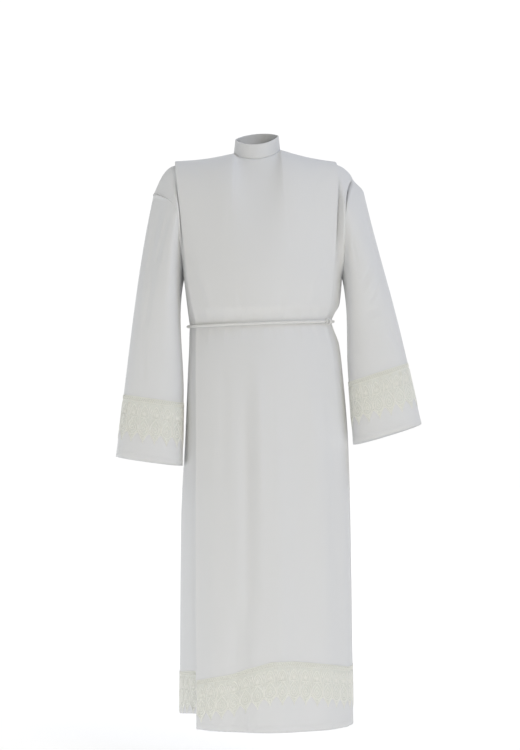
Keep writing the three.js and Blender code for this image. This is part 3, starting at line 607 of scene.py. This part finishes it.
def sleeve_grid(side):
    """A sleeve: rows from the cuff up to the armhole, closed round the arm."""
    turns = np.arange(SLEEVE_AROUND) / SLEEVE_AROUND
    start = np.array([
        side_point(-1, side, 1 + 2 * t) if t <= 0.5 else side_point(1, side, 1 + 2 * (1 - t))
        for t in turns
    ])
    edge, head = CUFFS[side]
    end = cuff_point(head, side, turns)
    foot = cuff_point(edge, side, turns)
    way = end - start
    out_top, out_inner, forward, up, crown = SLEEVE_BULGES[side]
    topness = np.sin(math.pi * turns) ** 2
    start_slope = way + np.stack([
        side * (out_inner + (out_top - out_inner) * topness),
        -forward * np.sin(2 * math.pi * turns),
        up * topness,
    ], -1)
    end_slope = (foot - end) * (np.linalg.norm(way, axis=1) / CUFF_LENGTH)[:, None]
    rings = []
    for s in (*SLEEVE_SEAM_ROWS, *np.linspace(SLEEVE_SEAM_END, 1, SLEEVE_ROWS)):
        ring = hermite(start, end, start_slope, end_slope, np.full(len(turns), s))
        ring[:, 0] += side * crown * topness * smooth(s / CROWN_SHARE) * (1 - s) ** 2
        depth = np.zeros(len(turns))
        for at, width, deep, begin, stop in SLEEVE_FOLDS[side]:
            if begin < s < stop:
                share = (s - begin) / (stop - begin)
                depth += deep * bump(turns - at, width) * math.sin(math.pi * share)
        for at0, s0, at1, s1, width, deep in SLEEVE_CREASES[side]:
            depth += deep * near_line(turns, s, at0, s0, at1, s1, width)
        rings.append(ring + outward_of(ring) * depth[:, None])
    hem_shares = np.array([*TURN_UP_ROWS[::-1], 0]) / CUFF_LENGTH
    for share in (*np.linspace(1, CUFF_EVEN_FROM, CUFF_ROWS)[1:], *hem_shares):
        ring = end + (foot - end) * (1 - share)
        rings.append(ring + outward_of(ring) * turned_edge(share * CUFF_LENGTH))
    grid = np.array(rings[::-1])
    return grid[:, ::-1] if side < 0 else grid


def collar_grid():
    """The stand-up collar: rows from the neck seam up, closed round the neck."""
    quarter = COLLAR_AROUND // 4
    turns = np.linspace(0, 1, quarter + 1)
    ring = np.concatenate([
        neckline(-1, -1, turns[::-1])[:-1], neckline(-1, 1, turns)[:-1],
        neckline(1, 1, turns[::-1])[:-1], neckline(1, -1, turns)[:-1],
    ])
    lean = unit(-ring * [1, 1, 0]) * COLLAR_LEAN + [0, 0, COLLAR_HEIGHT]
    return np.array([ring + lean * share for share in np.linspace(0, 1, COLLAR_ROWS)])


def grid_normals(grid, closed):
    if closed:
        across = np.roll(grid, -1, axis=1) - np.roll(grid, 1, axis=1)
    else:
        across = np.gradient(grid, axis=1)
    return unit(np.cross(across, np.gradient(grid, axis=0)))


def lengths_along(grid, axis):
    """Running lengths along an axis of a grid, starting from 0."""
    steps = np.linalg.norm(np.diff(grid, axis=axis), axis=-1)
    zero = np.zeros_like(np.take(steps, [0], axis=axis))
    return np.concatenate([zero, np.cumsum(steps, axis=axis)], axis=axis)


def make_object(name, points, faces, material, uv=None, smooth_shading=True):
    mesh = bpy.data.meshes.new(name)
    mesh.from_pydata((np.asarray(points) * MM).tolist(), [], faces)
    if uv is not None:
        layer = mesh.uv_layers.new(name="cloth")
        corners = np.zeros(len(mesh.loops), int)
        mesh.loops.foreach_get("vertex_index", corners)
        layer.data.foreach_set("uv", (np.asarray(uv)[corners] * MM).ravel())
    mesh.polygons.foreach_set("use_smooth", [smooth_shading] * len(mesh.polygons))
    mesh.materials.append(material)
    mesh.update()
    obj = bpy.data.objects.new(name, mesh)
    bpy.context.scene.collection.objects.link(obj)
    return obj


def grid_faces(rows, columns, closed, offset=0, flip=False):
    last = columns if closed else columns - 1
    i, j = np.meshgrid(np.arange(rows - 1), np.arange(last), indexing="ij")
    next_j = (j + 1) % columns
    low, high = i * columns, (i + 1) * columns
    quads = np.stack([low + j, low + next_j, high + next_j, high + j], -1).reshape(-1, 4) + offset
    return quads[:, ::-1] if flip else quads


def make_shell(name, grid, closed, material, wall):
    """A cloth of even thickness round a grid, with its cut edges closed."""
    rows, columns = grid.shape[:2]
    normals = grid_normals(grid, closed)
    outer, inner = grid + normals * wall / 2, grid - normals * wall / 2
    points = np.concatenate([outer.reshape(-1, 3), inner.reshape(-1, 3)])
    half = rows * columns
    faces = [grid_faces(rows, columns, closed), grid_faces(rows, columns, closed, half, flip=True)]
    j = np.arange(columns if closed else columns - 1)
    next_j = (j + 1) % columns
    last = (rows - 1) * columns
    faces.append(np.stack([j, j + half, next_j + half, next_j], -1))
    faces.append(np.stack([last + next_j, last + next_j + half, last + j + half, last + j], -1))
    if not closed:
        i = np.arange(rows - 1) * columns
        up = i + columns
        end = columns - 1
        faces.append(np.stack([up, up + half, i + half, i], -1))
        faces.append(np.stack([i + end, i + end + half, up + end + half, up + end], -1))
    across = lengths_along(grid, 1)
    across = np.repeat(across[rows // 3][None], rows, axis=0)
    along = lengths_along(grid, 0)
    uv = np.tile(np.stack([across, along], -1).reshape(-1, 2), (2, 1))
    return make_object(name, points, np.concatenate(faces).tolist(), material, uv)


def make_tube_band(name, rings, material):
    """A closed wall from rings that run up its outer side, over its top edge and down its inner side."""
    grid = np.array(rings)
    rows, columns = grid.shape[:2]
    faces = [grid_faces(rows, columns, True)]
    j = np.arange(columns)
    next_j = (j + 1) % columns
    last = (rows - 1) * columns
    faces.append(np.stack([last + j, last + next_j, next_j, j], -1))
    across = np.repeat(lengths_along(grid, 1)[:1], rows, axis=0)
    uv = np.stack([across, lengths_along(grid, 0)], -1).reshape(-1, 2)
    return make_object(name, grid.reshape(-1, 3), np.concatenate(faces).tolist(), material, uv)


class Patch:
    """A stretch of a cloth's grid, seen as a plane: s runs along its lower edge, h up the cloth."""

    def __init__(self, grid, normals, columns):
        self.grid = grid[:, columns]
        self.normals = normals[:, columns]
        self.reach = lengths_along(self.grid[:1], 1)[0]
        self.length = self.reach[-1]
        self.tall = lengths_along(self.grid, 0)

    def at(self, s, h, off=0.0):
        s, h = np.broadcast_arrays(np.asarray(s, float), np.asarray(h, float))
        j = np.clip(np.searchsorted(self.reach, s) - 1, 0, len(self.reach) - 2)
        w = ((s - self.reach[j]) / (self.reach[j + 1] - self.reach[j]))[..., None]
        steps = self.tall[:, j]
        i = np.clip((steps <= h).sum(0) - 1, 0, len(self.tall) - 2)
        low = np.take_along_axis(steps, i[None], 0)[0]
        high = np.take_along_axis(steps, i[None] + 1, 0)[0]
        t = ((h - low) / (high - low))[..., None]

        def read(values):
            foot = values[i, j] * (1 - w) + values[i, j + 1] * w
            head = values[i + 1, j] * (1 - w) + values[i + 1, j + 1] * w
            return foot * (1 - t) + head * t
        return read(self.grid) + read(self.normals) * np.asarray(off, float)[..., None]


def bezier(points, count):
    """Points of a quadratic or cubic curve through its first and last control points."""
    t = np.linspace(0, 1, count)[:, None]
    layer = [np.array(p, float) + 0 * t for p in points]
    while len(layer) > 1:
        layer = [a * (1 - t) + b * t for a, b in zip(layer, layer[1:])]
    return layer[0]


def mirrored(curve):
    """A curve of the lace's repeat and its mirror image."""
    return [curve, curve * [-1, 1] + [1, 0]]


def closed_drop(middle, half_width, bottom, top, scale, count=9):
    """A drop about the repeat's middle, round below and pointed above, shrunk towards its belly."""
    angle = np.linspace(-math.pi / 2, 0, count)
    belly = np.stack([0.5 + half_width * np.cos(angle), middle + (middle - bottom) * np.sin(angle)], -1)
    rise = top - middle
    flank = (0.5 + half_width, middle + DROP_FLANK * rise)
    tip = (DROP_NECK[0], top - DROP_NECK[1] * rise)
    neck = bezier([belly[-1], flank, tip, (0.5, top)], count)
    side = np.concatenate([belly, neck[1:]])
    centre = np.array([0.5, middle])
    side = centre + (side - centre) * scale
    return np.concatenate([side, mirrored(side)[1][-2::-1]])


def scallop(u):
    """Height of the lace's lower edge across one repeat: round valleys between pointed tips."""
    return LACE_VALLEY * (1 - (1 - np.abs(2 * u - 1)) ** SCALLOP_CURVE)


def lace_motif():
    """The threads of one repeat: a curve in shares of pitch and height, its width in mm, and its taper."""
    motif = []
    for lift, width in EDGE_CORDS:
        u = np.linspace(0, 0.5, 9)
        motif += [(curve, width, False) for curve in mirrored(np.stack([u, scallop(u) + lift], -1))]
    turn = np.linspace(0, 2 * math.pi, 9)
    half, centre, tall, width = TIP_RING
    motif.append((np.stack([0.5 + half * np.sin(turn), centre + tall * np.cos(turn)], -1), width, False))
    motif += [(closed_drop(**DROP, scale=scale), width, False) for scale, width in DROP_RINGS]
    for points, count, width, taper, both in LACE_CURVES:
        curve = bezier(points, count)
        motif += [(half, width, taper) for half in (mirrored(curve) if both else [curve])]
    turns, low, high, width = ZIGZAG
    for k in range(turns):
        left, middle, right = ((k + share) / turns for share in (0, 0.5, 1))
        motif.append((bezier([(left, low), (middle, high)], 3), width, False))
        motif.append((bezier([(middle, high), (right, low)], 3), width, False))
    return motif


def ribbon_strips(curves, thickness):
    """Vertices (s, h, off) and faces of raised threads that follow curves on a cloth, given in mm."""
    points, faces, uv, start = [], [], [], 0
    for curve, width, taper in curves:
        way = unit(np.gradient(curve, axis=0))
        beside = np.stack([-way[:, 1], way[:, 0]], -1)
        half = np.full(len(curve), width / 2)
        if taper:
            half *= np.sin(math.pi * np.clip(np.linspace(0, 1, len(curve)), *TAPER_SPAN)) ** TAPER_POWER
        aside = THREAD_ACROSS[None] * half[:, None]
        flat = curve[:, None] + beside[:, None] * aside[..., None]
        off = np.broadcast_to(THREAD_DOME * thickness, flat.shape[:2])
        points.append(np.concatenate([flat, off[..., None]], -1).reshape(-1, 3))
        run = lengths_along(curve[None], 1)[0]
        uv.append(np.stack(np.broadcast_arrays(run[:, None], aside), -1).reshape(-1, 2))
        faces.append(grid_faces(*aside.shape, False, start, flip=True))
        start += aside.size
    return np.concatenate(points), np.concatenate(faces), np.concatenate(uv)


def lace_band(name, patch, height, rise_at, inset):
    """A net on the cloth and the threads of its pattern. Its points lie rise_at above the cloth's edge."""
    length = patch.length - 2 * inset
    repeats = max(1, round(length / LACE_PITCH))
    pitch = length / repeats

    def place(s, eta, off):
        s = np.clip(s, 0, length)
        return patch.at(s + inset, rise_at(s / length) + eta * height, off)

    steps = repeats * NET_STEPS
    s = np.linspace(0, length, steps + 1)
    edge = scallop((s / pitch) % 1.0)
    eta = edge + (1 - edge) * np.linspace(0, 1, NET_ROWS)[:, None]
    grid = place(np.broadcast_to(s, eta.shape), eta, CLOTH / 2 + NET_OFF)
    uv = np.stack([np.broadcast_to(s, eta.shape), eta * height], -1).reshape(-1, 2)
    faces = grid_faces(NET_ROWS, steps + 1, False)
    net = make_object("lace_net_" + name, grid.reshape(-1, 3), faces.tolist(), lace_net, uv)

    curves = [
        ((curve + [k, 0]) * [pitch, height], width, taper)
        for k in range(repeats) for curve, width, taper in lace_motif()
    ]
    points, faces, uv = ribbon_strips(curves, THREAD_HEIGHT)
    laid = place(points[:, 0], points[:, 1] / height, CLOTH / 2 + THREAD_OFF + points[:, 2])
    threads = make_object("lace_threads_" + name, laid, faces.tolist(), lace_thread, uv)
    return net, threads, (length, height)


def hull_of(points):
    """The convex outline of points seen from above, counterclockwise."""
    ordered = sorted(set(map(tuple, np.round(points, 3))))

    def chain(sequence):
        hull = []
        for p in sequence:
            while len(hull) > 1:
                a, b = hull[-2], hull[-1]
                if (b[0] - a[0]) * (p[1] - a[1]) - (b[1] - a[1]) * (p[0] - a[0]) > 0:
                    break
                hull.pop()
            hull.append(p)
        return hull[:-1]
    return np.array(chain(ordered) + chain(ordered[::-1]))


def cord_path():
    """The belt's way: pulled straight over the outermost cloth beneath it, in even steps."""
    v = (GIRDLE_Z - HEM_Z) / (UNDERARM_Z - HEM_Z)
    rows = [half_row(face, side, v)[:, :2] for face in (-1, 1) for side, _ in SIDES]
    hull = hull_of(np.concatenate(rows))
    reach = CLOTH / 2 + CORD_CLEARANCE + CORD_RADIUS
    ring = []
    for k, point in enumerate(hull):
        before, after = hull[k - 1], hull[(k + 1) % len(hull)]
        start = math.atan2(before[0] - point[0], point[1] - before[1])
        turn = (math.atan2(point[0] - after[0], after[1] - point[1]) - start) % (2 * math.pi)
        for share in np.linspace(0, 1, max(2, math.ceil(turn / CORD_TURN_STEP) + 1)):
            angle = start + turn * share
            ring.append(point + reach * np.array([math.cos(angle), math.sin(angle)]))
    ring = np.array(ring + ring[:1])
    run = lengths_along(ring[None], 1)[0]
    at = np.linspace(0, run[-1], round(run[-1] / ROPE_STEP) + 1)[:-1]
    flat = np.stack([np.interp(at, run, ring[:, i]) for i in (0, 1)], -1)
    for _ in range(3):
        flat = (np.roll(flat, 1, 0) + 2 * flat + np.roll(flat, -1, 0)) / 4
    return np.column_stack([flat, GIRDLE_Z + GIRDLE_TILT * flat[:, 0]]), run[-1]


def laid_section(angle, twist, radius):
    """Radius of a rope of three strands at an angle round it."""
    strand = STRAND_SHARE * radius
    middle = radius - strand
    lobe = (angle - twist) % (2 * math.pi / 3) - math.pi / 3
    return middle * np.cos(lobe) + np.sqrt(strand ** 2 - (middle * np.sin(lobe)) ** 2)


def rope_tube(name, centres, out, radius, turns):
    """A rope of three laid strands round a closed way."""
    count, sides = len(centres), ROPE_SIDES
    angle = np.linspace(0, 2 * math.pi, sides, endpoint=False)
    twist = np.arange(count)[:, None] / count * 2 * math.pi * turns
    r = laid_section(angle[None], twist, radius)
    ahead = unit(np.roll(centres, -1, 0) - np.roll(centres, 1, 0))
    aside = unit(out - ahead * (out * ahead).sum(-1, keepdims=True))
    up = np.cross(ahead, aside)
    grid = (centres[:, None] + aside[:, None] * (r * np.cos(angle))[..., None]
            + up[:, None] * (r * np.sin(angle))[..., None])
    along = np.arange(count) / count * np.linalg.norm(np.diff(centres, axis=0), axis=1).sum()
    lean = ROPE_PITCH / (2 * math.pi)
    uv = np.stack([along[:, None] - lean * angle[None] + 0 * r, angle[None] * radius + 0 * r], -1)
    i, j = np.meshgrid(np.arange(count), np.arange(sides), indexing="ij")
    next_i, next_j = (i + 1) % count, (j + 1) % sides
    faces = np.stack([i * sides + j, next_i * sides + j, next_i * sides + next_j, i * sides + next_j], -1)
    return make_object(name, grid.reshape(-1, 3), faces.reshape(-1, 4).tolist(), rope, uv.reshape(-1, 2))


def set_inputs(node, values):
    for name, value in values.items():
        node.inputs[name].default_value = value


def add_node(tree, kind, values=None, **settings):
    node = tree.nodes.new("ShaderNode" + kind)
    for name, value in settings.items():
        setattr(node, name, value)
    set_inputs(node, values or {})
    return node


def add_texture(tree, kind, values, **settings):
    """A texture in the cloth's own measure."""
    coords = add_node(tree, "UVMap", uv_map="cloth")
    texture = add_node(tree, kind, values, **settings)
    tree.links.new(coords.outputs["UV"], texture.inputs["Vector"])
    return texture


def add_relief(tree, height, strength, distance, under=None, invert=False):
    """Lays a relief on the shader's surface, over the one under it."""
    relief = add_node(tree, "Bump", {"Strength": strength, "Distance": distance}, invert=invert)
    tree.links.new(height, relief.inputs["Height"])
    if under:
        tree.links.new(under.outputs["Normal"], relief.inputs["Normal"])
    tree.links.new(relief.outputs["Normal"], tree.nodes["Principled BSDF"].inputs["Normal"])
    return relief


def add_glow(tree, coords, fades, target):
    """Drives a strength by the sum of two soft rises, each along an axis."""
    place = add_node(tree, "TexCoord")
    parts = add_node(tree, "SeparateXYZ")
    total = add_node(tree, "Math")
    tree.links.new(place.outputs[coords], parts.inputs[0])
    for i, (axis, start, full, strength) in enumerate(fades):
        values = {"From Min": start, "From Max": full, "To Min": 0.0, "To Max": strength}
        fade = add_node(tree, "MapRange", values, interpolation_type="SMOOTHSTEP")
        tree.links.new(parts.outputs[axis], fade.inputs["Value"])
        tree.links.new(fade.outputs["Result"], total.inputs[i])
    tree.links.new(total.outputs[0], target)


def plain_material(name, color, roughness, sheen=0.0):
    material = bpy.data.materials.new(name)
    material.use_nodes = True
    set_inputs(material.node_tree.nodes["Principled BSDF"], {
        "Base Color": (*color, 1), "Roughness": roughness, "Sheen Weight": sheen, "Specular IOR Level": 0.2,
    })
    return material


def cloth_material(name, color, roughness, sheen, weave, weave_depth, mottle):
    """Cloth with an even weave and a slight unevenness."""
    material = plain_material(name, color, roughness, sheen)
    tree = material.node_tree
    crossed = add_node(tree, "Math", operation="MAXIMUM")
    values = {"Scale": weave, "Distortion": 0.6, "Detail": 1.0, "Detail Scale": 2.0}
    for i, direction in enumerate(("X", "Y")):
        wave = add_texture(tree, "TexWave", values, bands_direction=direction)
        tree.links.new(wave.outputs["Fac"], crossed.inputs[i])
    slubs = add_texture(tree, "TexNoise", {"Scale": 26.0, "Detail": 4.0, "Roughness": 0.6})
    woven = add_relief(tree, crossed.outputs[0], 0.35, weave_depth)
    add_relief(tree, slubs.outputs["Fac"], 0.5, mottle, woven)
    return material


def thread_material(name, color, roughness, strands, depth):
    """Yarn laid side by side, with its fine ridges across the run."""
    material = plain_material(name, color, roughness, 0.15)
    values = {"Scale": strands, "Distortion": 0.8, "Detail": 1.0, "Detail Scale": 3.0}
    ridges = add_texture(material.node_tree, "TexWave", values, bands_direction="X")
    add_relief(material.node_tree, ridges.outputs["Fac"], 0.5, depth)
    return material


def net_material(name, thread_color, painted_hole_shade, cells):
    """A fine net: pale threads round small holes, with painted shade in the holes for the shaded cloth
    behind them.
    """
    material = plain_material(name, thread_color, 0.85, 0.1)
    tree = material.node_tree
    values = {"Scale": cells, "Randomness": 0.35}
    mesh = add_texture(tree, "TexVoronoi", values, feature="DISTANCE_TO_EDGE")
    ramp = add_node(tree, "ValToRGB")
    # Pale thread at the holes' edges, painted shade inside the holes
    for stop, place, color in zip(ramp.color_ramp.elements, (0.10, 0.28), (thread_color, painted_hole_shade)):
        stop.position = place
        stop.color = (*color, 1)
    tree.links.new(mesh.outputs["Distance"], ramp.inputs["Fac"])
    tree.links.new(ramp.outputs["Color"], tree.nodes["Principled BSDF"].inputs["Base Color"])
    add_relief(tree, mesh.outputs["Distance"], 0.6, 0.0003, invert=True)
    return material


cloth = cloth_material("white_weave", (0.78, 0.785, 0.79), 0.85, 0.15, 420.0, 0.00012, 0.0005)
lace_thread = thread_material("ivory_thread", (0.89, 0.89, 0.84), 0.6, 523.0, 0.0001)
# The net's darker second colour is painted shade in its holes
lace_net = net_material("ivory_net", (0.85, 0.86, 0.81), (0.66, 0.67, 0.62), 430.0)
rope = thread_material("satin_rope", (0.86, 0.86, 0.85), 0.45, 420.0, 0.00025)
sewing = plain_material("white_sewing", (0.84, 0.845, 0.85), 0.6, 0.1)
floor_material = plain_material("pale_floor", (0.85, 0.85, 0.85), 0.9)
floor_shader = floor_material.node_tree.nodes["Principled BSDF"]
set_inputs(floor_shader, {"Emission Color": (1, 1, 1, 1)})
add_glow(floor_material.node_tree, "Object", FLOOR_GLOWS, floor_shader.inputs["Emission Strength"])

# Camera
camera = bpy.data.objects.new("camera", bpy.data.cameras.new("camera"))
camera.location = (CENTRE_X * MM, -CAMERA_DISTANCE * MM, CENTRE_Z * MM)
camera.rotation_euler = (math.pi / 2, 0, 0)
camera.data.sensor_width = SENSOR
camera.data.lens = SENSOR * CAMERA_DISTANCE / (PHOTO_HEIGHT * MM_PER_PIXEL)
bpy.context.scene.collection.objects.link(camera)
bpy.context.scene.camera = camera

def finish_piece(obj, slot, *nodes):
    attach(obj, BODY)
    if nodes:
        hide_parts(*nodes)
    return obj


# Cloth pieces
front_grid, back_grid = panel_grid(-1), panel_grid(1)
front_normals, back_normals = grid_normals(front_grid, False), grid_normals(back_grid, False)
sleeve_grids = {side: sleeve_grid(side) for side, _ in SIDES}
collar_rings = collar_grid()
collar_out = grid_normals(collar_rings, True) * COLLAR_WALL
collar_top = [
    collar_rings[-1] + collar_out[-1] * math.cos(a) + [0, 0, COLLAR_WALL * math.sin(a)]
    for a in np.linspace(0, math.pi, COLLAR_EDGE_STEPS)[1:-1]
]
collar_wall = [*(collar_rings + collar_out), *collar_top, *(collar_rings - collar_out)[::-1]]
pieces = {
    "front": make_shell("alb_front", front_grid, False, cloth, CLOTH),
    "back": make_shell("alb_back", back_grid, False, cloth, CLOTH),
    "sleeve_left": make_shell("alb_sleeve_left", sleeve_grids[-1], True, cloth, CLOTH),
    "sleeve_right": make_shell("alb_sleeve_right", sleeve_grids[1], True, cloth, CLOTH),
    "collar": make_tube_band("alb_collar", collar_wall, cloth),
}
for node, piece in pieces.items():
    finish_piece(piece, "white_cloth", node)

# Lace on the hem and the cuffs
middle = front_grid.shape[1] // 2
outer = np.arange(middle - OUTER_STEPS, middle + OUTER_STEPS + 1)


def joined_patch(*panels):
    """The last side columns of one panel and the first ones of the other, as one stretch."""
    side = SIDE_STEPS + 1
    grid, normals = (np.concatenate([a[:, -side:-1], b[:, :side]], axis=1) for a, b in zip(*panels))
    return Patch(grid, normals, np.arange(grid.shape[1]))


def round_patch(grid):
    """All of a closed grid, with its first column once more at the end."""
    return Patch(grid, grid_normals(grid, True), np.arange(grid.shape[1] + 1) % grid.shape[1])


def hem_rise(share):
    return np.interp(2 * share - 1, LACE_RISE_AT, LACE_RISES)


def even_rise(rise):
    return lambda share: rise + 0 * share


def lay_lace(edge, place, patch, height, rise_at, inset=0.0):
    net, threads, flat = lace_band(edge + "_" + place, patch, height, rise_at, inset)
    finish_piece(net, "lace", edge + "_lace_" + place)
    finish_piece(threads, "lace")


front_cloth, back_cloth = (front_grid, front_normals), (back_grid, back_normals)
# place, host, patch, height of the points over the hem, inset at both ends
hem_bands = (
    ("front", "alb_front", Patch(*front_cloth, outer), hem_rise, 0.0),
    ("back", "alb_back", Patch(*back_cloth, outer), lambda share: hem_rise(1 - share), 0.0),
    ("left", "alb_front", joined_patch(back_cloth, front_cloth), even_rise(LEFT_LACE_RISE), SIDE_INSET),
    ("right", "alb_front", joined_patch(front_cloth, back_cloth), even_rise(RIGHT_LACE_RISE), SIDE_INSET),
)
for place, host, patch, rise_at, inset in hem_bands:
    lay_lace("hem", place, patch, HEM_LACE_HEIGHT, rise_at, inset)
for side, place in SIDES:
    patch = round_patch(sleeve_grids[side])
    lay_lace("cuff", place, patch, CUFF_LACE_HEIGHT, even_rise(CUFF_LACE_RISE))


def stitch_seams(name, seams):
    """Short raised stitches. A seam is a patch, its height on it, and how far the cloth's face lies out."""
    points, faces, start = [], [], 0
    for patch, height, face_out in seams:
        count = int(patch.length / STITCH_PITCH)
        curves = []
        for s in (np.arange(count) + STITCH_START) * patch.length / count:
            run = s + STITCH_LENGTH * np.array([0, 0.5, 1])
            curves.append((np.stack([run, 0 * run + height], -1), STITCH_WIDTH, True))
        flat, quads, _ = ribbon_strips(curves, STITCH_HEIGHT)
        points.append(patch.at(flat[:, 0], flat[:, 1], face_out + flat[:, 2] - STITCH_SINK))
        faces.append(quads + start)
        start += len(flat)
    stitches = make_object(name, np.concatenate(points), np.concatenate(faces).tolist(), sewing)
    return finish_piece(stitches, "white_cloth")


def panel_seams(grid, normals):
    """A panel's sewn lines: its hem, its two armholes, its shoulders."""
    every = np.arange(grid.shape[1])
    top = sum(1 for v in panel_heights() if v < 1)
    seams = [(Patch(grid, normals, every), TURN_UP, CLOTH / 2)]
    tall, tall_normals = grid[top + 1:], normals[top + 1:]
    for columns, flip in ((slice(0, SEAM_COLUMNS), 1), (slice(-1, -SEAM_COLUMNS - 1, -1), -1)):
        edge = tall[:, columns].transpose(1, 0, 2)[:, ::flip]
        edge_normals = tall_normals[:, columns].transpose(1, 0, 2)[:, ::flip]
        seams.append((Patch(edge, edge_normals, np.arange(edge.shape[1])), SEAM_INSET, CLOTH / 2))
    half = OUTER_STEPS
    neck = math.ceil(NECK_SHARE * half) + 1
    middle = grid.shape[1] // 2
    for columns in (np.arange(middle - half, middle - neck), np.arange(middle + neck, middle + half)):
        down = slice(None, None, -1)
        turned = Patch(grid[down], normals[down], columns[::-1])
        seams.append((turned, SEAM_INSET, CLOTH / 2))
    return seams


# node, name of its stitches, its grid, whether it is closed, what it rests on, its seams
panels = ["alb_front", "alb_back"]
cloth_rows = [
    ("front", "stitches_front", front_grid, False, [], panel_seams(*front_cloth)),
    ("back", "stitches_back", back_grid, False, [], panel_seams(*back_cloth)),
]
for side, name in SIDES:
    grid = sleeve_grids[side]
    seams = [(round_patch(grid), TURN_UP, CLOTH / 2)]
    cloth_rows.append(("sleeve_" + name, "stitches_cuff_" + name, grid, True, panels, seams))
seams = [(round_patch(collar_rings), height, COLLAR_WALL) for height in COLLAR_SEAMS]
cloth_rows.append(("collar", "stitches_collar", collar_rings, True, panels, seams))
for node, name, grid, closed, rests_on, seams in cloth_rows:
    stitch_seams(name, seams)

# The rope belt with its knot of three turns
path, path_length = cord_path()
ahead = unit(np.roll(path, -1, 0) - np.roll(path, 1, 0))
outward = unit(np.cross(ahead, [0, 0, 1]))
belt = rope_tube("belt_rope", path, outward, CORD_RADIUS, round(path_length / ROPE_PITCH))
near = np.where(path[:, 1] < 0, np.abs(path[:, 0] - KNOT_X), 1e9).argmin()
finish_piece(belt, "white_rope", "cincture")
for k, (along, radius, thick) in enumerate(KNOT_TURNS):
    spot = near + round(along / ROPE_STEP)
    axis, out = ahead[spot], outward[spot]
    up = np.cross(out, axis)
    angle = np.linspace(0, 2 * math.pi, KNOT_STEPS, endpoint=False)[:, None]
    reach = radius - thick / 2
    pressed = np.maximum(reach * np.cos(angle), thick / 2 - CORD_RADIUS)
    lean = KNOT_LEAN * np.sin(angle + KNOT_PHASE * k)
    centres = path[spot] + out * pressed + up * reach * np.sin(angle) + axis * lean
    outwards = out * np.cos(angle) + up * np.sin(angle)
    turn = rope_tube("belt_knot_" + str(k + 1), centres, outwards, thick / 2, KNOT_TWISTS)
    finish_piece(turn, "white_rope")

# Floor, light and world
corners = [(x * FLOOR_HALF, y * FLOOR_HALF, FLOOR_Z) for x, y in ((-1, -1), (1, -1), (1, 1), (-1, 1))]
floor = make_object("floor", corners, [(0, 1, 2, 3)], floor_material, None, False)

world = bpy.data.worlds.new("white_studio")
world.use_nodes = True
background = world.node_tree.nodes["Background"]
set_inputs(background, {"Color": (1, 1, 1, 1)})
add_glow(world.node_tree, "Generated", STUDIO_WALLS, background.inputs["Strength"])
bpy.context.scene.world = world
bpy.context.scene.view_settings.view_transform = "Standard"


def aim(way):
    """Angles that turn a light's -Z along a direction."""
    return (math.atan2(math.hypot(way[0], way[1]), -way[2]), 0, math.atan2(-way[0], way[1]))


for name, location, target, size, power, color in LIGHTS:
    data = bpy.data.lights.new(name, "AREA")
    data.shape = "DISK"
    data.size = size
    data.energy = power
    data.color = color
    light = bpy.data.objects.new(name, data)
    light.location = location
    light.rotation_euler = aim(np.array(target, float) - np.array(location, float))
    bpy.context.scene.collection.objects.link(light)
